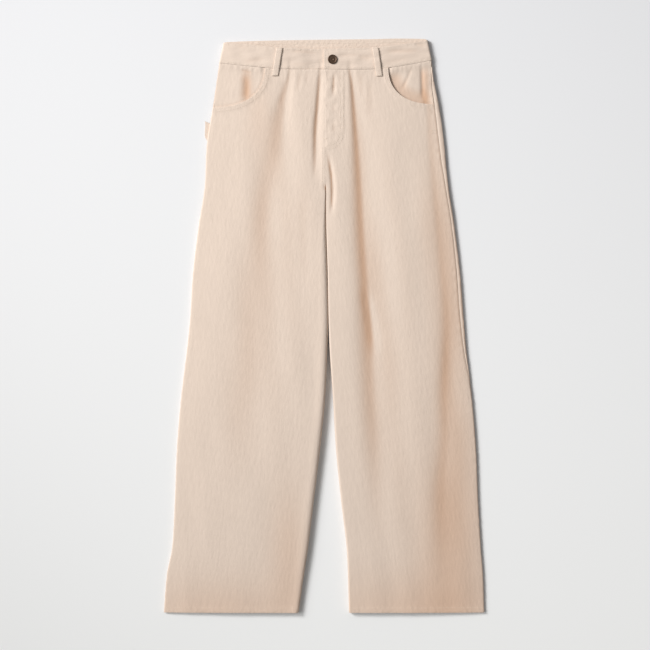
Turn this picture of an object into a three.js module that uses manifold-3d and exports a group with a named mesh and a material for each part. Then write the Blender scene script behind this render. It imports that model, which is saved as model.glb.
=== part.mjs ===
// Baggy needlecord jeans, laid flat on their back, with the button fastened.
// Millimetres. +X is the wearer's left, +Y runs from the hems up to the waist, and +Z points up
// from the surface that they lie on. The origin is the middle of the underside of their box.

import * as THREE from 'three';
import { mergeVertices } from 'three/addons/utils/BufferGeometryUtils.js';
import Module from 'manifold-3d';

const wasm = await Module();
wasm.setup();

// ---------------------------------------------------------------- driving dimensions

const CLOTH = 1.4;              // needlecord, one layer
const BAND = 2.6;               // the waistband is two layers and their turnings
const STRAP = 1.7;              // belt loops and hammer loop, folded flat
const GAP = 0.3;                // between pieces that meet at a seam
const HEM_Y = -518;
const CROTCH_Y = 252;
const CROTCH_RISE = 30;         // above the crotch, where the centre seams climb to their flats
const FOLD_RADIUS = 6;          // of the folds down the outer edges
const SWELL_REACH = 36;         // how far in from an outer edge the cloth goes on rising
const INSEAM_REACH = 30;        // the same from an inseam
const SEAT_LIFT = 2.9;          // the seat stands on its pockets and loops by this much
const SEAT_START_Y = 170;
const SEAT_FULL_Y = 222;
const BAND_PROUD = 0.9;         // the waistband stands out from the panels by this much
const BAND_UNDERSIDE = 2.2;     // the height of the waistband's outer face at the back
const BAND_FOLD_RADIUS = 6.5;
const BAND_EDGE_HEIGHT = 7;     // the middle of its folds at the sides
const BAND_SEAM_X = 192.3;      // those folds at the waist seam, and at the top
const BAND_TOP_X = 184.5;
const UNDERLAP_FROM_X = -26;    // where the underlap starts to sink under the overlap
const OVERLAP_END_X = -3;       // the buttoned end of the waistband
const UNDERLAP_END_X = 26;      // the end that lies under it
const POCKET_UNDER = 10;        // how far a facing runs on under the pocket mouth
const LOOP_WIDTH = 11;
const LOOP_STAND = 5.4;         // room for a belt
const LOOP_PRESSED = 1.5;       // a strap squeezed flat under the garment
const SURFACE_SLACK = 0.2;      // between a smooth surface and the flat facets that stand for it
const PATCH = { x: 96, topWide: 146, footWide: 126, topY: 392, footY: 232, point: 20 };
const PATCH_THICK = 1.4;
const HAMMER = { x: -214.5, y: 353, width: 33, length: 42, slant: -0.69, skew: -3.8 };
const BUTTON_RADIUS = 8.7;
const BUTTON = { x: 12.6, y: 480 };

const SIDE_X = 192;             // where the tables of heights across the body end
const SEAM_TURNS = 0.03;        // half a gap at a seam, in quarter turns of a fold
const FLAT_TURNS = 1.8;         // where the outer fold's columns give way to the flat's

const SIDES = [
  { name: 'right', sign: -1 },
  { name: 'left', sign: 1 },
];

// The edges of the two legs as they lie. Above the crotch the inner edges are the centre seams.
const EDGES = [
  { y: -518, rightOuter: -292.5, rightInner: -48.6, leftInner: 42.5, leftOuter: 287.5 },
  { y: -450, rightOuter: -287.2, rightInner: -38.8, leftInner: 40.5, leftOuter: 285.3 },
  { y: -400, rightOuter: -277.6, rightInner: -31.2, leftInner: 38.0, leftOuter: 281.4 },
  { y: -314, rightOuter: -272.7, rightInner: -20.7, leftInner: 27.9, leftOuter: 276.3 },
  { y: -224, rightOuter: -269.1, rightInner: -9.9, leftInner: 18.9, leftOuter: 272.7 },
  { y: -134, rightOuter: -261.9, rightInner: -0.9, leftInner: 13.5, leftOuter: 265.5 },
  { y: -44, rightOuter: -251.1, rightInner: 3.2, leftInner: 7.4, leftOuter: 254.7 },
  { y: 15, rightOuter: -245.0, rightInner: 4.8, leftInner: 5.1, leftOuter: 249.9 },
  { y: 92, rightOuter: -240.3, rightInner: 3.3, leftInner: 3.6, leftOuter: 243.9 },
  { y: 182, rightOuter: -229.5, rightInner: 0.85, leftInner: 1.15, leftOuter: 233.1 },
  { y: 252, rightOuter: -218.7, rightInner: 0.85, leftInner: 1.15, leftOuter: 222.3 },
  { y: 326, rightOuter: -215.1, rightInner: 0.85, leftInner: 1.15, leftOuter: 215.1 },
  { y: 394, rightOuter: -204.3, rightInner: 0.85, leftInner: 1.15, leftOuter: 206.1 },
  { y: 442, rightOuter: -197.1, rightInner: 0.85, leftInner: 1.15, leftOuter: 196.3 },
  { y: 480, rightOuter: -191.6, rightInner: 0.85, leftInner: 1.15, leftOuter: 191.7 },
];

// How high the front lies above the surface in the middle of a leg or of the body, how high the
// middle of the fold is at each edge, and the radius of the fold along the inseam.
const LOFT = [
  { y: -518, middle: 13.5, outerEdge: 4.2, innerEdge: 4.8, inseamRadius: 5 },
  { y: -400, middle: 16, outerEdge: 4.4, innerEdge: 5.6, inseamRadius: 6 },
  { y: -200, middle: 17.5, outerEdge: 4.6, innerEdge: 6.3, inseamRadius: 6.3 },
  { y: 0, middle: 17.5, outerEdge: 4.6, innerEdge: 6.5, inseamRadius: 6 },
  { y: 150, middle: 17.5, outerEdge: 4.8, innerEdge: 6.5, inseamRadius: 5 },
  { y: 252, middle: 17, outerEdge: 5.8, innerEdge: 6.5, inseamRadius: 4 },
  { y: 350, middle: 17, outerEdge: 6.2, innerEdge: 6.8, inseamRadius: 5 },
  { y: 480, middle: 17, outerEdge: 7, innerEdge: 7, inseamRadius: 6 },
];

// The side seam lies on the outer edge, but on the wearer's left it lies on the front face from
// the waist to the knee. Quarter turns of the fold, counted from the edge towards the front.
const SEAM_TURN = [
  { y: -150, right: 0, left: 0 },
  { y: -60, right: 0, left: 0.75 },
  { y: 30, right: 0, left: 1.1 },
  { y: 150, right: 0, left: 0.95 },
  { y: 250, right: 0, left: 0.95 },
  { y: 310, right: 0, left: 1.35 },
  { y: 394, right: 0, left: 1.3 },
  { y: 440, right: 0, left: 0.9 },
  { y: 478, right: 0, left: 0 },
];

// The largest folds of the front, as troughs that run down the cloth and spread to both sides.
const FOLDS = {
  rightThigh: [
    { y: -290, x: -150, left: 46, right: 50, depth: 0 },
    { y: -175, x: -146, left: 46, right: 50, depth: 1.6 },
    { y: 0, x: -121, left: 42, right: 50, depth: 2.6 },
    { y: 207, x: -100, left: 32, right: 40, depth: 2.8 },
    { y: 297, x: -87, left: 27, right: 30, depth: 2.8 },
    { y: 401, x: -72, left: 13, right: 12, depth: 2.4 },
    { y: 460, x: -64, left: 8, right: 10, depth: 1.2 },
    { y: 488, x: -64, left: 8, right: 10, depth: 0 },
  ],
  flyFlank: [
    { y: 262, x: -20, left: 6, right: 9, depth: 0 },
    { y: 300, x: -18, left: 6, right: 8, depth: 1.2 },
    { y: 367, x: -13, left: 6, right: 8, depth: 2 },
    { y: 415, x: -12, left: 6, right: 8, depth: 2 },
    { y: 484, x: -12, left: 6, right: 8, depth: 0 },
  ],
  leftThigh: [
    { y: -420, x: 104, left: 30, right: 50, depth: 0 },
    { y: -260, x: 98, left: 28, right: 50, depth: 1.6 },
    { y: -152, x: 93, left: 26, right: 50, depth: 2.8 },
    { y: -44, x: 88, left: 23, right: 50, depth: 3.9 },
    { y: 50, x: 81, left: 20, right: 48, depth: 4.7 },
    { y: 150, x: 73, left: 19, right: 44, depth: 5 },
    { y: 262, x: 66, left: 16, right: 34, depth: 4.4 },
    { y: 343, x: 60, left: 11, right: 26, depth: 3.4 },
    { y: 440, x: 51, left: 8, right: 14, depth: 2 },
    { y: 488, x: 46, left: 8, right: 12, depth: 0 },
  ],
  leftOutside: [
    { y: -470, x: 218, left: 26, right: 40, depth: 0 },
    { y: -314, x: 218, left: 25, right: 38, depth: 2.2 },
    { y: -206, x: 223, left: 20, right: 34, depth: 2.8 },
    { y: -116, x: 221, left: 18, right: 28, depth: 2.8 },
    { y: 10, x: 224, left: 15, right: 22, depth: 2.4 },
    { y: 137, x: 212, left: 12, right: 20, depth: 2 },
    { y: 330, x: 193, left: 10, right: 14, depth: 2.2 },
    { y: 401, x: 188, left: 8, right: 10, depth: 1.8 },
    { y: 462, x: 186, left: 8, right: 10, depth: 0 },
  ],
};

// Heights of the edges that run across the body, from the wearer's right side to the left.
const ACROSS = [
  { x: -192, waistSeam: 474, bandTop: 511, yoke: 436, backSeam: 474, backTop: 512 },
  { x: -136, waistSeam: 468, bandTop: 507, yoke: 430, backSeam: 475, backTop: 514.4 },
  { x: -80, waistSeam: 463, bandTop: 501, yoke: 420, backSeam: 476, backTop: 515.8 },
  { x: 0, waistSeam: 462, bandTop: 499.5, yoke: 408, backSeam: 477, backTop: 517 },
  { x: 84, waistSeam: 462.4, bandTop: 501.8, yoke: 420, backSeam: 478, backTop: 518 },
  { x: 134, waistSeam: 468, bandTop: 507, yoke: 432, backSeam: 479, backTop: 519 },
  { x: 192, waistSeam: 479, bandTop: 515.5, yoke: 441, backSeam: 479, backTop: 518 },
];

// The scooped pocket mouths: quarter ovals about a point on the side seam at the waist.
const POCKETS = {
  right: { x: -201, y: 462, wide: 92, deep: 68, fullness: 2.2 },
  left: { x: 197, y: 468, wide: 84, deep: 68, fullness: 2.4 },
};

// ---------------------------------------------------------------- smooth lines and surfaces

const QUARTER = Math.PI / 2;

function clamp(value, low, high) {
  return Math.min(Math.max(value, low), high);
}

function mix(a, b, share) {
  return a + (b - a) * share;
}

function ease(from, to, value) {
  const share = clamp((value - from) / (to - from), 0, 1);
  return share * share * (3 - 2 * share);
}

// A smooth line through one column of a table, read at any value of another column.
function line(rows, by, name) {
  const at = rows.map((row) => row[by]);
  const value = rows.map((row) => row[name]);
  const last = rows.length - 1;
  const slope = rows.map((_, i) => {
    const before = Math.max(i - 1, 0);
    const after = Math.min(i + 1, last);
    return (value[after] - value[before]) / (at[after] - at[before]);
  });
  return (where) => {
    const t = clamp(where, at[0], at[last]);
    const i = clamp(at.findIndex((limit) => limit > t) - 1, 0, last - 1);
    const k = t >= at[last] ? last - 1 : i;
    const step = at[k + 1] - at[k];
    const s = (t - at[k]) / step;
    const bend = s * (1 - s) * step;
    return mix(value[k], value[k + 1], s * s * (3 - 2 * s))
      + bend * ((1 - s) * slope[k] - s * slope[k + 1]);
  };
}

function lines(rows, by) {
  const names = Object.keys(rows[0]).filter((name) => name !== by);
  return Object.fromEntries(names.map((name) => [name, line(rows, by, name)]));
}

const edges = lines(EDGES, 'y');
const loft = lines(LOFT, 'y');
const seamTurn = lines(SEAM_TURN, 'y');
const across = lines(ACROSS, 'x');
const folds = Object.values(FOLDS).map((rows) => lines(rows, 'y'));

function outerX(side, y) {
  return edges[`${side.name}Outer`](y);
}

function innerX(side, y) {
  return edges[`${side.name}Inner`](y);
}

// 1 down the legs and 0 in the body: whether the cloth dips to an inseam.
function cleft(y) {
  return 1 - ease(CROTCH_Y - 10, CROTCH_Y + 90, y);
}

// How near the cloth is to an edge that it dips to: 1 there, and 0 from its reach on.
function drop(inward, reach) {
  return (1 - clamp(inward / reach, 0, 1)) ** 3;
}

function foldDepth(x, y) {
  return folds.reduce((sum, fold) => {
    const away = x - fold.x(y);
    const share = away / (away < 0 ? fold.left(y) : fold.right(y));
    return sum + Math.max(fold.depth(y), 0) * Math.exp(-share * share);
  }, 0);
}

// The height of the front's outer face, before it turns down at the folded edges.
function frontHeight(side, x, y) {
  const middle = loft.middle(y);
  const toOuter = drop(Math.abs(x - outerX(side, y)), SWELL_REACH);
  const toInner = drop(Math.abs(x - innerX(side, y)), INSEAM_REACH) * cleft(y);
  const dips = (middle - 2 * loft.outerEdge(y)) * toOuter + (middle - 2 * loft.innerEdge(y)) * toInner;
  return middle - dips - foldDepth(x, y) * (1 - toOuter);
}

// The height of the back's outer face: flat on the surface, and lifted at the seat.
function backHeight(y) {
  return SEAT_LIFT * ease(SEAT_START_Y, SEAT_FULL_Y, y);
}

// How far a rounded fold has come in from its edge, and up to its flat, after some quarter turns.
function turned(turns, radius) {
  const quarter = Math.min(Math.abs(turns), 1) * QUARTER;
  const past = Math.max(Math.abs(turns) - 1, 0) * QUARTER;
  return {
    inward: radius * (1 - Math.cos(quarter) + past),
    lift: Math.sin(quarter),
  };
}

// Where the centre seams stand above the crotch: the front one climbs and the back one sinks.
function centreShare(y) {
  return ease(CROTCH_Y, CROTCH_Y + CROTCH_RISE, y);
}

// A point on the tube of cloth that runs round one leg and its half of the body. The tube's
// position counts 0 to 1 round the fold at the outer edge, 1 to 2 across the flat and 2 to 3
// round the fold at the inner edge. sideY is the point's height at the outer edge, and heightAt
// gives the height of the same row at any x.
function tubePoint(side, face, position, sideY, heightAt) {
  const sign = face === 'front' ? 1 : -1;
  const outer = outerX(side, sideY);
  const inner = innerX(side, sideY);
  const radius = loft.inseamRadius(sideY);
  const firstTurn = seamTurn[side.name](sideY) + sign * SEAM_TURNS;
  const turns = position < 1 ? mix(firstTurn, sign * FLAT_TURNS, position) : sign;
  const outerFold = turned(turns, FOLD_RADIUS);
  const innerFold = turned(mix(1, SEAM_TURNS, clamp(position - 2, 0, 1)), radius);
  const flatFrom = outer - side.sign * turned(FLAT_TURNS, FOLD_RADIUS).inward;
  const flatTo = inner + side.sign * radius;
  let x = mix(flatFrom, flatTo, position - 1);
  if (position < 1) x = outer - side.sign * outerFold.inward;
  if (position > 2) x = inner + side.sign * innerFold.inward;
  const y = heightAt(x);
  const onFront = position < 1 ? turns > 0 : face === 'front';
  const flatZ = onFront ? frontHeight(side, x, y) : backHeight(y);
  let z = flatZ;
  if (position < 1) z = mix(loft.outerEdge(y), flatZ, outerFold.lift);
  if (position > 2) z = mix(mix(loft.innerEdge(y), flatZ, centreShare(y)), flatZ, innerFold.lift);
  return new THREE.Vector3(x, y, z);
}

// The row of a panel whose height at the outer edge is sideY: level down the leg, and in the body
// it bends by degrees into the curve of the panel's top edge.
function panelRow(side, sideY, topEdge) {
  if (sideY <= CROTCH_Y) return () => sideY;
  const share = (sideY - CROTCH_Y) / (topEdge(side.sign * SIDE_X) - CROTCH_Y);
  return (x) => mix(CROTCH_Y, topEdge(x), share);
}

// ---------------------------------------------------------------- solids

function spread(from, to, spans) {
  return Array.from({ length: spans + 1 }, (_, i) => mix(from, to, i / spans));
}

// A closed body between two grids of points that have the same rows and columns.
function between(outside, inside) {
  const rows = outside.length;
  const columns = outside[0].length;
  const points = [...outside.flat(), ...inside.flat()];
  const at = (layer, row, column) => (layer * rows + row) * columns + column;
  const faces = [];
  const quad = (a, b, c, d) => faces.push(a, b, c, a, c, d);
  for (let r = 0; r < rows - 1; r += 1) {
    for (let c = 0; c < columns - 1; c += 1) {
      quad(at(0, r, c), at(0, r, c + 1), at(0, r + 1, c + 1), at(0, r + 1, c));
      quad(at(1, r, c), at(1, r + 1, c), at(1, r + 1, c + 1), at(1, r, c + 1));
    }
    const last = columns - 1;
    quad(at(0, r, 0), at(0, r + 1, 0), at(1, r + 1, 0), at(1, r, 0));
    quad(at(0, r + 1, last), at(0, r, last), at(1, r, last), at(1, r + 1, last));
  }
  for (let c = 0; c < columns - 1; c += 1) {
    const last = rows - 1;
    quad(at(0, 0, c + 1), at(0, 0, c), at(1, 0, c), at(1, 0, c + 1));
    quad(at(0, last, c), at(0, last, c + 1), at(1, last, c + 1), at(1, last, c));
  }
  return closedBody(points, faces);
}

// The body's faces are turned outwards, whichever way its grids ran.
function closedBody(points, faces) {
  let volume = 0;
  for (let i = 0; i < faces.length; i += 3) {
    const [a, b, c] = [points[faces[i]], points[faces[i + 1]], points[faces[i + 2]]];
    volume += a.dot(new THREE.Vector3().crossVectors(b, c));
  }
  const geometry = new THREE.BufferGeometry();
  geometry.setAttribute('position', new THREE.Float32BufferAttribute(points.flatMap((p) => p.toArray()), 3));
  geometry.setIndex(volume > 0 ? faces : faces.slice().reverse());
  return geometry;
}

// A wall of cloth on the inner side of a surface. away is 1 where the surface's columns crossed
// with its rows point out of the garment, and -1 where they point in. under leaves room for a
// layer above, and keep holds each point on its own side of a seam.
function wall(surface, columns, rows, { away, under = 0, thick = CLOTH, keep = (p) => p }) {
  const step = 0.004;
  const low = { column: columns[0], row: rows[0] };
  const high = { column: columns.at(-1), row: rows.at(-1) };
  const grid = (depth) => rows.map((row) => columns.map((column) => {
    const along = new THREE.Vector3().subVectors(
      surface(Math.min(column + step, high.column), row),
      surface(Math.max(column - step, low.column), row),
    );
    const up = new THREE.Vector3().subVectors(
      surface(column, Math.min(row + 1, high.row)),
      surface(column, Math.max(row - 1, low.row)),
    );
    const normal = along.cross(up).normalize();
    return keep(surface(column, row).addScaledVector(normal, -away * depth));
  }));
  return between(grid(under), grid(under + thick));
}

function asManifold(geometry) {
  const bare = geometry.clone();
  bare.deleteAttribute('normal');
  bare.deleteAttribute('uv');
  const merged = mergeVertices(bare, 1e-4);
  return new wasm.Manifold(new wasm.Mesh({
    numProp: 3,
    vertProperties: new Float32Array(merged.attributes.position.array),
    triVerts: new Uint32Array(merged.index.array),
  }));
}

function asGeometry(manifold) {
  const mesh = manifold.getMesh();
  const geometry = new THREE.BufferGeometry();
  geometry.setAttribute('position', new THREE.BufferAttribute(mesh.vertProperties, 3));
  geometry.setIndex(new THREE.BufferAttribute(mesh.triVerts, 1));
  return geometry;
}

const garment = new THREE.Group();

function add(name, geometry, finish) {
  const material = new THREE.MeshStandardMaterial({ ...finish });
  const mesh = new THREE.Mesh(geometry, material);
  mesh.name = name;
  garment.add(mesh);
}

const CORD = { color: '#e2d0c0', roughness: 0.95, metalness: 0 };
const METAL = { color: '#4a3528', roughness: 0.45, metalness: 0.8 };

// ---------------------------------------------------------------- front and back panels

const FRONT_COLUMNS = [...spread(0, 1, 3), ...spread(1, 2, 11).slice(1), ...spread(2, 3, 3).slice(1)];
const BACK_COLUMNS = [...spread(0, 1, 5), ...spread(1, 2, 3).slice(1), ...spread(2, 3, 3).slice(1)];
const FACING_COLUMNS = 10;      // of the front's, from the side seam to past the pocket mouth
const LEG_ROWS = spread(HEM_Y, CROTCH_Y, 20);

// Rows just above the crotch are close, because the centre seams climb there.
function bodyRows(side, topEdge) {
  const climb = spread(CROTCH_Y, CROTCH_Y + CROTCH_RISE, 3).slice(1);
  return [...climb, ...spread(CROTCH_Y + CROTCH_RISE, topEdge(side.sign * SIDE_X), 5).slice(1)];
}

function keepToSide(side) {
  return (point) => {
    const limit = innerX(side, point.y);
    point.x = side.sign < 0 ? Math.min(point.x, limit) : Math.max(point.x, limit);
    return point;
  };
}

// The region of a pocket mouth: inside a quarter oval, and out past the side and the waist.
function pocketMouth(side, grow) {
  const { x, y, wide, deep, fullness } = POCKETS[side.name];
  const outline = new THREE.Shape();
  outline.moveTo(x + side.sign * 60, y + 60);
  outline.lineTo(x + side.sign * 60, y - deep - grow);
  for (const angle of spread(0, QUARTER, 9)) {
    const out = Math.sin(angle) ** (2 / fullness) * (wide + grow);
    const down = Math.cos(angle) ** (2 / fullness) * (deep + grow);
    outline.lineTo(x - side.sign * out, y - down);
  }
  outline.lineTo(x - side.sign * (wide + grow), y + 60);
  const block = new THREE.ExtrudeGeometry(outline, { depth: 60, bevelEnabled: false });
  return asManifold(block.translate(0, 0, -20));
}

function frontPoint(side) {
  return (position, sideY) => tubePoint(
    side, 'front', position, sideY, panelRow(side, sideY, across.waistSeam));
}

for (const side of SIDES) {
  const rows = [...LEG_ROWS, ...bodyRows(side, across.yoke)];
  const waistRows = spread(across.yoke(side.sign * SIDE_X), across.waistSeam(side.sign * SIDE_X), 2);
  const frontRows = [...rows, ...waistRows.slice(1)];
  const whole = wall(frontPoint(side), FRONT_COLUMNS, frontRows, {
    away: -side.sign,
    keep: keepToSide(side),
  });
  add(`front_${side.name}`, asGeometry(asManifold(whole).subtract(pocketMouth(side, 0))), CORD);

  const facingRows = [rows.at(-4), rows.at(-3), rows.at(-2), rows.at(-1), ...waistRows.slice(1)];
  const facing = wall(frontPoint(side), FRONT_COLUMNS.slice(0, FACING_COLUMNS), facingRows, {
    away: -side.sign,
    under: CLOTH + GAP,
  });
  const reach = pocketMouth(side, POCKET_UNDER);
  add(`pocket_facing_${side.name}`, asGeometry(asManifold(facing).intersect(reach)), CORD);

  const backPoint = (position, sideY) => tubePoint(
    side, 'back', position, sideY, panelRow(side, sideY, across.yoke));
  add(`back_${side.name}`, wall(backPoint, BACK_COLUMNS, rows, {
    away: side.sign,
    keep: keepToSide(side),
  }), CORD);

  const yokeLow = across.yoke(side.sign * SIDE_X) + GAP;
  const yokeHigh = across.backSeam(side.sign * SIDE_X);
  const yokePoint = (position, sideY) => {
    const share = (sideY - yokeLow) / (yokeHigh - yokeLow);
    return tubePoint(side, 'back', position, sideY,
      (x) => mix(across.yoke(x) + GAP, across.backSeam(x), share));
  };
  add(`yoke_${side.name}`, wall(yokePoint, BACK_COLUMNS, [yokeLow, ...waistRows.slice(1)], {
    away: side.sign,
    keep: keepToSide(side),
  }), CORD);
}

// ---------------------------------------------------------------- waistband

const BAND_COLUMNS = [
  ...spread(0, 1, 12), ...spread(1, 2, 6).slice(1), ...spread(2, 3, 8).slice(1),
  ...spread(3, 4, 6).slice(1), ...spread(4, 5, 14).slice(1),
];

function bandFrontHeight(x, y) {
  const side = x < 0 ? SIDES[0] : SIDES[1];
  return frontHeight(side, x, y) + BAND_PROUD;
}

// A point on the waistband's outer face. position runs 0 to 1 along the front from the buttoned
// end to the wearer's left, 1 to 2 round that fold, 2 to 3 across the back, 3 to 4 round the other
// fold and 4 to 5 along the front to the end that lies under. up runs 0 to 1 from the seam.
function bandPoint(position, up) {
  const side = position < 2.5 ? SIDES[1] : SIDES[0];
  const edge = side.sign * mix(BAND_SEAM_X, BAND_TOP_X, up);
  const round = turned(1, BAND_FOLD_RADIUS).inward;
  const stretch = Math.min(Math.floor(position), 4);
  const share = position - stretch;
  const half = mix(BAND_SEAM_X, BAND_TOP_X, up) - round;
  const path = [
    () => ({ x: mix(OVERLAP_END_X, half, share), turns: 1 }),
    () => ({ turns: mix(1, -1, share) }),
    () => ({ x: mix(half, -half, share), turns: -1 }),
    () => ({ turns: mix(-1, 1, share) }),
    () => ({ x: mix(-half, UNDERLAP_END_X, share), turns: 1 }),
  ][stretch]();
  const fold = turned(path.turns, BAND_FOLD_RADIUS);
  const x = path.x ?? edge - side.sign * fold.inward;
  const frontY = mix(across.waistSeam(x) + GAP, across.bandTop(x), up);
  const backY = mix(across.backSeam(x) + GAP, across.backTop(x), up);
  const y = mix(backY, frontY, (path.turns + 1) / 2);
  const flatZ = path.turns > 0 ? bandFrontHeight(x, y) : BAND_UNDERSIDE;
  const under = stretch === 4 ? (BAND + GAP) * ease(UNDERLAP_FROM_X, OVERLAP_END_X - 5, x) : 0;
  return new THREE.Vector3(x, y, mix(BAND_EDGE_HEIGHT, flatZ, fold.lift) - under);
}

add('waistband', wall(bandPoint, BAND_COLUMNS, spread(0, 1, 2), { away: 1, thick: BAND }), CORD);

// ---------------------------------------------------------------- what is sewn on

// A flat strip that lies on a support. outline gives the strip's x and y from its share across
// and along, support gives the height to lie on, and stand how far it stands clear of it.
function strip(outline, support, columns, rows, thick, stand = () => 0) {
  const grid = (extra) => rows.map((along) => columns.map((acrossIt) => {
    const { x, y } = outline(acrossIt, along);
    return new THREE.Vector3(x, y, support(x, y) + Math.sign(thick) * (GAP + stand(along)) + extra);
  }));
  return between(grid(0), grid(thick));
}

// What the front wears: the waistband above the seam, and the panels below it.
function frontSupport(x, y) {
  const side = x < 0 ? SIDES[0] : SIDES[1];
  const step = BAND_PROUD * ease(across.waistSeam(x) - 4, across.waistSeam(x) - 1, y);
  return frontHeight(side, x, y) + step + SURFACE_SLACK;
}

// The underside of the back, from the waistband down to the seat.
function backSupport(x, y) {
  const drop = (SEAT_LIFT - BAND_UNDERSIDE) * ease(across.backSeam(x) - 4, across.backSeam(x) - 1, y);
  return backHeight(y) - drop;
}

const FRONT_LOOPS = {
  right: { topX: -82.8, footX: -91, topY: 501, footY: 450.5 },
  left: { topX: 89.6, footX: 96.8, topY: 501.5, footY: 450 },
};
const BACK_LOOPS = {
  belt_loop_side_right: { x: -128 },
  belt_loop_back: { x: 1 },
  belt_loop_side_left: { x: 130 },
};

function loopOutline({ topX, footX, topY, footY }) {
  return (acrossIt, along) => ({
    x: mix(footX, topX, along) + acrossIt * LOOP_WIDTH / 2,
    y: mix(footY, topY, along),
  });
}

for (const side of SIDES) {
  const bow = (along) => LOOP_STAND * ease(0.12, 0.3, along) * (1 - ease(0.86, 1, along));
  add(`belt_loop_front_${side.name}`, strip(
    loopOutline(FRONT_LOOPS[side.name]), frontSupport, [-1, 0, 1], spread(0, 1, 12), STRAP, bow), CORD);
}

for (const [name, { x }] of Object.entries(BACK_LOOPS)) {
  const ends = { topX: x, footX: x, topY: across.backTop(x) - 1, footY: across.backSeam(x) - 12 };
  add(name, strip(loopOutline(ends), backSupport, [-1, 0, 1], spread(0, 1, 12), -LOOP_PRESSED), CORD);
}

// A patch pocket with a pointed foot, on the underside of the seat.
for (const side of SIDES) {
  const outline = (acrossIt, along) => ({
    x: side.sign * (PATCH.x + acrossIt * mix(PATCH.footWide, PATCH.topWide, along) / 2),
    y: mix(PATCH.footY + PATCH.point * Math.abs(acrossIt), PATCH.topY, along),
  });
  add(`back_pocket_${side.name}`, strip(
    outline, backSupport, [-1, -0.5, 0, 0.5, 1], spread(0, 1, 3), -PATCH_THICK), CORD);
}

// The hammer loop: a strap sewn under the right side. Laid flat it lies slanted beneath the leg,
// and its bent end peeks out past the edge.
{
  const outline = (acrossIt, along) => {
    const skew = HAMMER.skew * (1 - along);
    const out = acrossIt * HAMMER.width / 2;
    const inward = along * HAMMER.length + acrossIt * skew;
    return {
      x: HAMMER.x + inward * Math.cos(HAMMER.slant) - out * Math.sin(HAMMER.slant),
      y: HAMMER.y + inward * Math.sin(HAMMER.slant) + out * Math.cos(HAMMER.slant),
    };
  };
  add('hammer_loop', strip(outline, backSupport, [-1, 0, 1], spread(0, 1, 4), -LOOP_PRESSED), CORD);
}

// The button: a domed cap with a rolled rim and a dimple, on the buttoned end of the waistband.
{
  const profile = [
    [0, 0], [7.6, 0], [8.7, 1], [8.5, 2.1], [7.7, 2.6], [6.9, 2.2], [5, 2.5], [1.6, 2.7], [0, 2.1],
  ].map(([r, h]) => new THREE.Vector2(r * BUTTON_RADIUS / 8.7, h));
  const button = new THREE.LatheGeometry(profile, 28);
  button.rotateX(QUARTER);
  button.translate(BUTTON.x, BUTTON.y, bandFrontHeight(BUTTON.x, BUTTON.y) + GAP + SURFACE_SLACK);
  add('button', button, METAL);
}

export default garment;
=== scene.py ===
# %% [markdown]
# # Baggy needlecord jeans, laid flat
#
# A pair of wide trousers lies on its back on a pale surface, with the button fastened. The packed
# CAD model is the frame: it fixes the size and the place of every piece. This script gives each
# piece of cloth its looks: a thin shell with soft folds, turned edges, topstitching and the fine
# ribs of needlecord. The tables are in millimetres, and meshes are made in metres.

# %% Load the frame
import math
from functools import partial
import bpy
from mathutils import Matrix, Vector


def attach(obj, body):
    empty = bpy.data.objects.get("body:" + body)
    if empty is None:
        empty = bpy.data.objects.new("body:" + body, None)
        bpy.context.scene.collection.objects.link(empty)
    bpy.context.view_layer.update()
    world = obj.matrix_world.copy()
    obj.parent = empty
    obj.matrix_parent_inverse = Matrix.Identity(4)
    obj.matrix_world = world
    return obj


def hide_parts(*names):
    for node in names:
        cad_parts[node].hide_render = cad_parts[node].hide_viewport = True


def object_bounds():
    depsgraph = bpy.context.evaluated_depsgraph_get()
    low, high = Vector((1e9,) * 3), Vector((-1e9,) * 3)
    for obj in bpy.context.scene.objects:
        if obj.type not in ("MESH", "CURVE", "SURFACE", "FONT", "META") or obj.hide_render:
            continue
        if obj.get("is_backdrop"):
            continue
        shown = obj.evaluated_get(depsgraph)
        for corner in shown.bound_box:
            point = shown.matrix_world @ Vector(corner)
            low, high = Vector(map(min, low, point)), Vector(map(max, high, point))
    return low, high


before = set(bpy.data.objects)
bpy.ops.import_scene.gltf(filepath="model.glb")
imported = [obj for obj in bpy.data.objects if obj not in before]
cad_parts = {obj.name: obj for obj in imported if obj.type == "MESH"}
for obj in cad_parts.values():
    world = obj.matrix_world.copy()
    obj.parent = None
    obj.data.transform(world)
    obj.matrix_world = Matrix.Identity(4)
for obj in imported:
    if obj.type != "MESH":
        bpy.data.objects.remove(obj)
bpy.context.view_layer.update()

from types import SimpleNamespace

import bmesh
import bpy
import numpy as np
from mathutils import Vector

MM = 0.001

# %% [markdown]
# ## Camera
#
# The garment is seen from straight above, through a long lens that hardly shows the height of its
# folds. The camera's height follows from the width that it has to take in.

# %% Camera
LENS = 85
SENSOR = 36
VIEW_WIDTH = 1.170
VIEW_CENTRE = (-0.0009, 0.0013)
CLOTH_HEIGHT = 0.016


def add_object(name, data):
    made = bpy.data.objects.new(name, data)
    bpy.context.scene.collection.objects.link(made)
    return made


camera_data = bpy.data.cameras.new("camera")
camera_data.lens = LENS
camera_data.sensor_width = SENSOR
camera = add_object("camera", camera_data)
camera.location = (*VIEW_CENTRE, VIEW_WIDTH * LENS / SENSOR + CLOTH_HEIGHT)
bpy.context.scene.camera = camera
print("the camera is", round(camera.location.z, 3), "m up")

# %% [markdown]
# ## Shader maths
#
# A material is a graph of nodes. As Python expressions it is easier to read, so a small class
# wraps a node's output and turns + and * into Math nodes. Every other node comes from one method,
# `node`, which takes the node's type, its settings and its inputs.

# %% Shader maths
LATTICE_TURN = 0.55             # turns the faint square grain of noise away from the weave


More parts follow.
